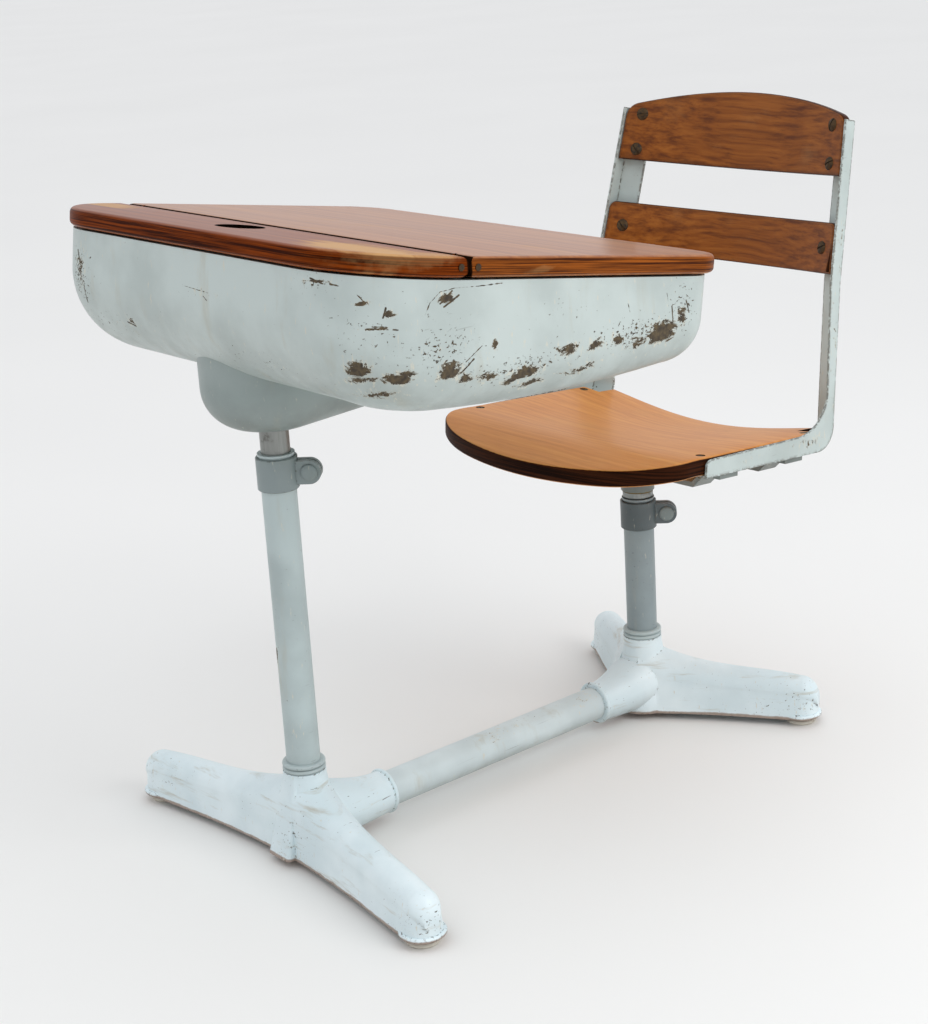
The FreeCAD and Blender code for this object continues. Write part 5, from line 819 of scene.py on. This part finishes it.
def floorGlide(nodeName, look):
    # keeps inside the CAD glide's box: the outline is scaled to its radius, and the stud runs up to its top
    low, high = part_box(nodeName)
    scale = (high.x - low.x) / 2 / look["radius"]
    outline = [(r * scale, z, rounding) for r, z, rounding in look["outline"]]
    outline += [(look["studRadius"], look["studFoot"], 0), (look["studRadius"], high.z, 0), (0, high.z, 0)]
    verts, faces = turnedPoints(smoothProfile(outline), look["spokes"])
    verts = verts + np.array(((low.x + high.x) / 2, (low.y + high.y) / 2, 0.0))
    name = "glide" + "".join(word.capitalize() for word in nodeName.split("_")[1:])
    newPiece(name, nodeName, verts, faces, glideSteel)


for corner in ("front_left", "front_right", "rear_left", "rear_right"):
    floorGlide("glide_" + corner, glideLook)


# clamp bolts: round cheese head with a soft rim on a plain shank; its outline is (radius, distance below the
# top, rounding) in metres
clampBoltLook = {"shankRadius": 0.0040, "bevel": 0.0006, "spokes": 48,
                 "head": [(0.0, 0.0, 0), (0.0062, 0.0003, 0.0012), (0.0092, 0.0016, 0.0011),
                          (0.0092, 0.0036, 0), (0.0040, 0.0036, 0), (0.0040, 0.0045, 0)]}


def clampBolt(name, nodeName, look):
    axis, centre, low, high = axisOf(solidPoints(nodeName)[0], np.array((1.0, -1.0, 0.0)))
    shankRadius, bevel = look["shankRadius"], look["bevel"]
    outline = smoothProfile(look["head"])
    outline[:, 1] = high - outline[:, 1]
    outline = np.concatenate([outline, [(shankRadius, low + bevel), (shankRadius - bevel, low), (0.0, low)]])
    verts, faces = turnedPoints(outline, look["spokes"])
    newPiece(name, nodeName, placed(verts, axis, centre, 0.0, 0.0), faces, shadedClampEnamel)


clampBolt("frontClampBolt", "front_clamp_bolt", clampBoltLook)
clampBolt("seatClampBolt", "seat_clamp_bolt", clampBoltLook)


# ferrules: two round beads, each half a circle turned about the tube: r = waist + bead cos t, z = middle +
# bead sin t
ferruleLook = {"inner": 0.0191, "bead": 0.0026, "points": 13, "spokes": 72}


def ferrule(name, nodeName, look):
    low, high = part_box(nodeName)
    t = np.linspace(-np.pi / 2, np.pi / 2, look["points"])
    waist, bead = look["inner"] + look["bead"], look["bead"]
    lower = np.stack([waist + bead * np.cos(t), low.z + bead + bead * np.sin(t)], -1)
    upper = np.stack([waist + bead * np.cos(t), high.z - bead + bead * np.sin(t)], -1)
    bore = [(look["inner"], high.z), (look["inner"], low.z)]
    outline = np.concatenate([bore[1:], lower, upper, bore])
    verts, faces = turnedPoints(outline, look["spokes"])
    verts = verts + np.array(((low.x + high.x) / 2, (low.y + high.y) / 2, 0.0))
    newPiece(name, nodeName, verts, faces, tubeEnamel)


ferrule("frontFerrule", "front_ferrule", ferruleLook)
ferrule("seatFerrule", "seat_ferrule", ferruleLook)


# seat screws, in metres: low domed heads with a slot, flush in their sinks
screwLook = {"headHeight": 0.0009, "headDepth": 0.0026, "headRadius": 0.0054, "headTaper": 0.0004,
             "slotWidth": 0.0013, "slotDepth": 0.0007, "shankRadius": 0.0024, "tip": 0.002, "spokes": 32,
             "axes": (0, 1), "turns": (-0.5, 0.4, 2.0, 1.2)}


def seatScrews(name, nodeName, look):
    verts, faces, count = [], [], 0
    shankRadius, headRadius = look["shankRadius"], look["headRadius"]
    for part, turn in zip(solidPoints(nodeName, look["axes"]), look["turns"]):
        axis, centre, low, high = axisOf(part, np.array((0.0, 0.0, 1.0)))
        base, brim = high - look["headDepth"], high - look["headHeight"]
        head, headFaces = slottedHead(headRadius, look["headHeight"], look["slotWidth"], look["slotDepth"])
        outline = [(0, low), (shankRadius * 0.6, low), (shankRadius, low + look["tip"]), (shankRadius, base),
                   (headRadius - look["headTaper"], base), (headRadius, brim), (0, brim)]
        shank, shankFaces = turnedPoints(outline, look["spokes"])
        for points, quads, level in ((head, headFaces, brim), (shank, shankFaces, 0.0)):
            verts.append(placed(points, axis, centre, level, turn))
            faces.append(quads + count)
            count += len(points)
    newPiece(name, nodeName, np.concatenate(verts), np.concatenate(faces), screwBrass)


seatScrews("seatScrews", "seat_screws", screwLook)
print("hardware made")


# finishes by slot, and those of single nodes; every node that nothing stands for yet gets its fine copy

finishes = {"top_wood": topWood, "seat_wood": seatWood, "back_wood": backWood, "box_paint": panEnamel,
            "casting_paint": paleLitCastEnamel, "tube_paint": tubeEnamel, "frame_paint": frameEnamel,
            "clamp_paint": shadedClampEnamel, "stem_steel": stemSteel, "clamp_bolt": shadedClampEnamel,
            "plain_steel": plainSteel, "pin_steel": pinSteel, "bolt_bronze": bronze,
            "screw_brass": screwBrass, "washer_brass": screwBrass, "glide_steel": glideSteel,
            "fibre": fibre, "rubber": rubber}
ownFinish = {"pedestal_housing": shadedHousingEnamel, "seat_bracket": shadedBracketEnamel, "beam_tube": litBeamEnamel,
             "seat_column": shadedSeatColumnEnamel, "seat_clamp": shadedSeatClampEnamel}
for nodeName in bodyOf:
    if nodeName not in replaced:
        finePiece(nodeName, ownFinish.get(nodeName, finishes[slotOf[nodeName]]))
print("pieces finished")
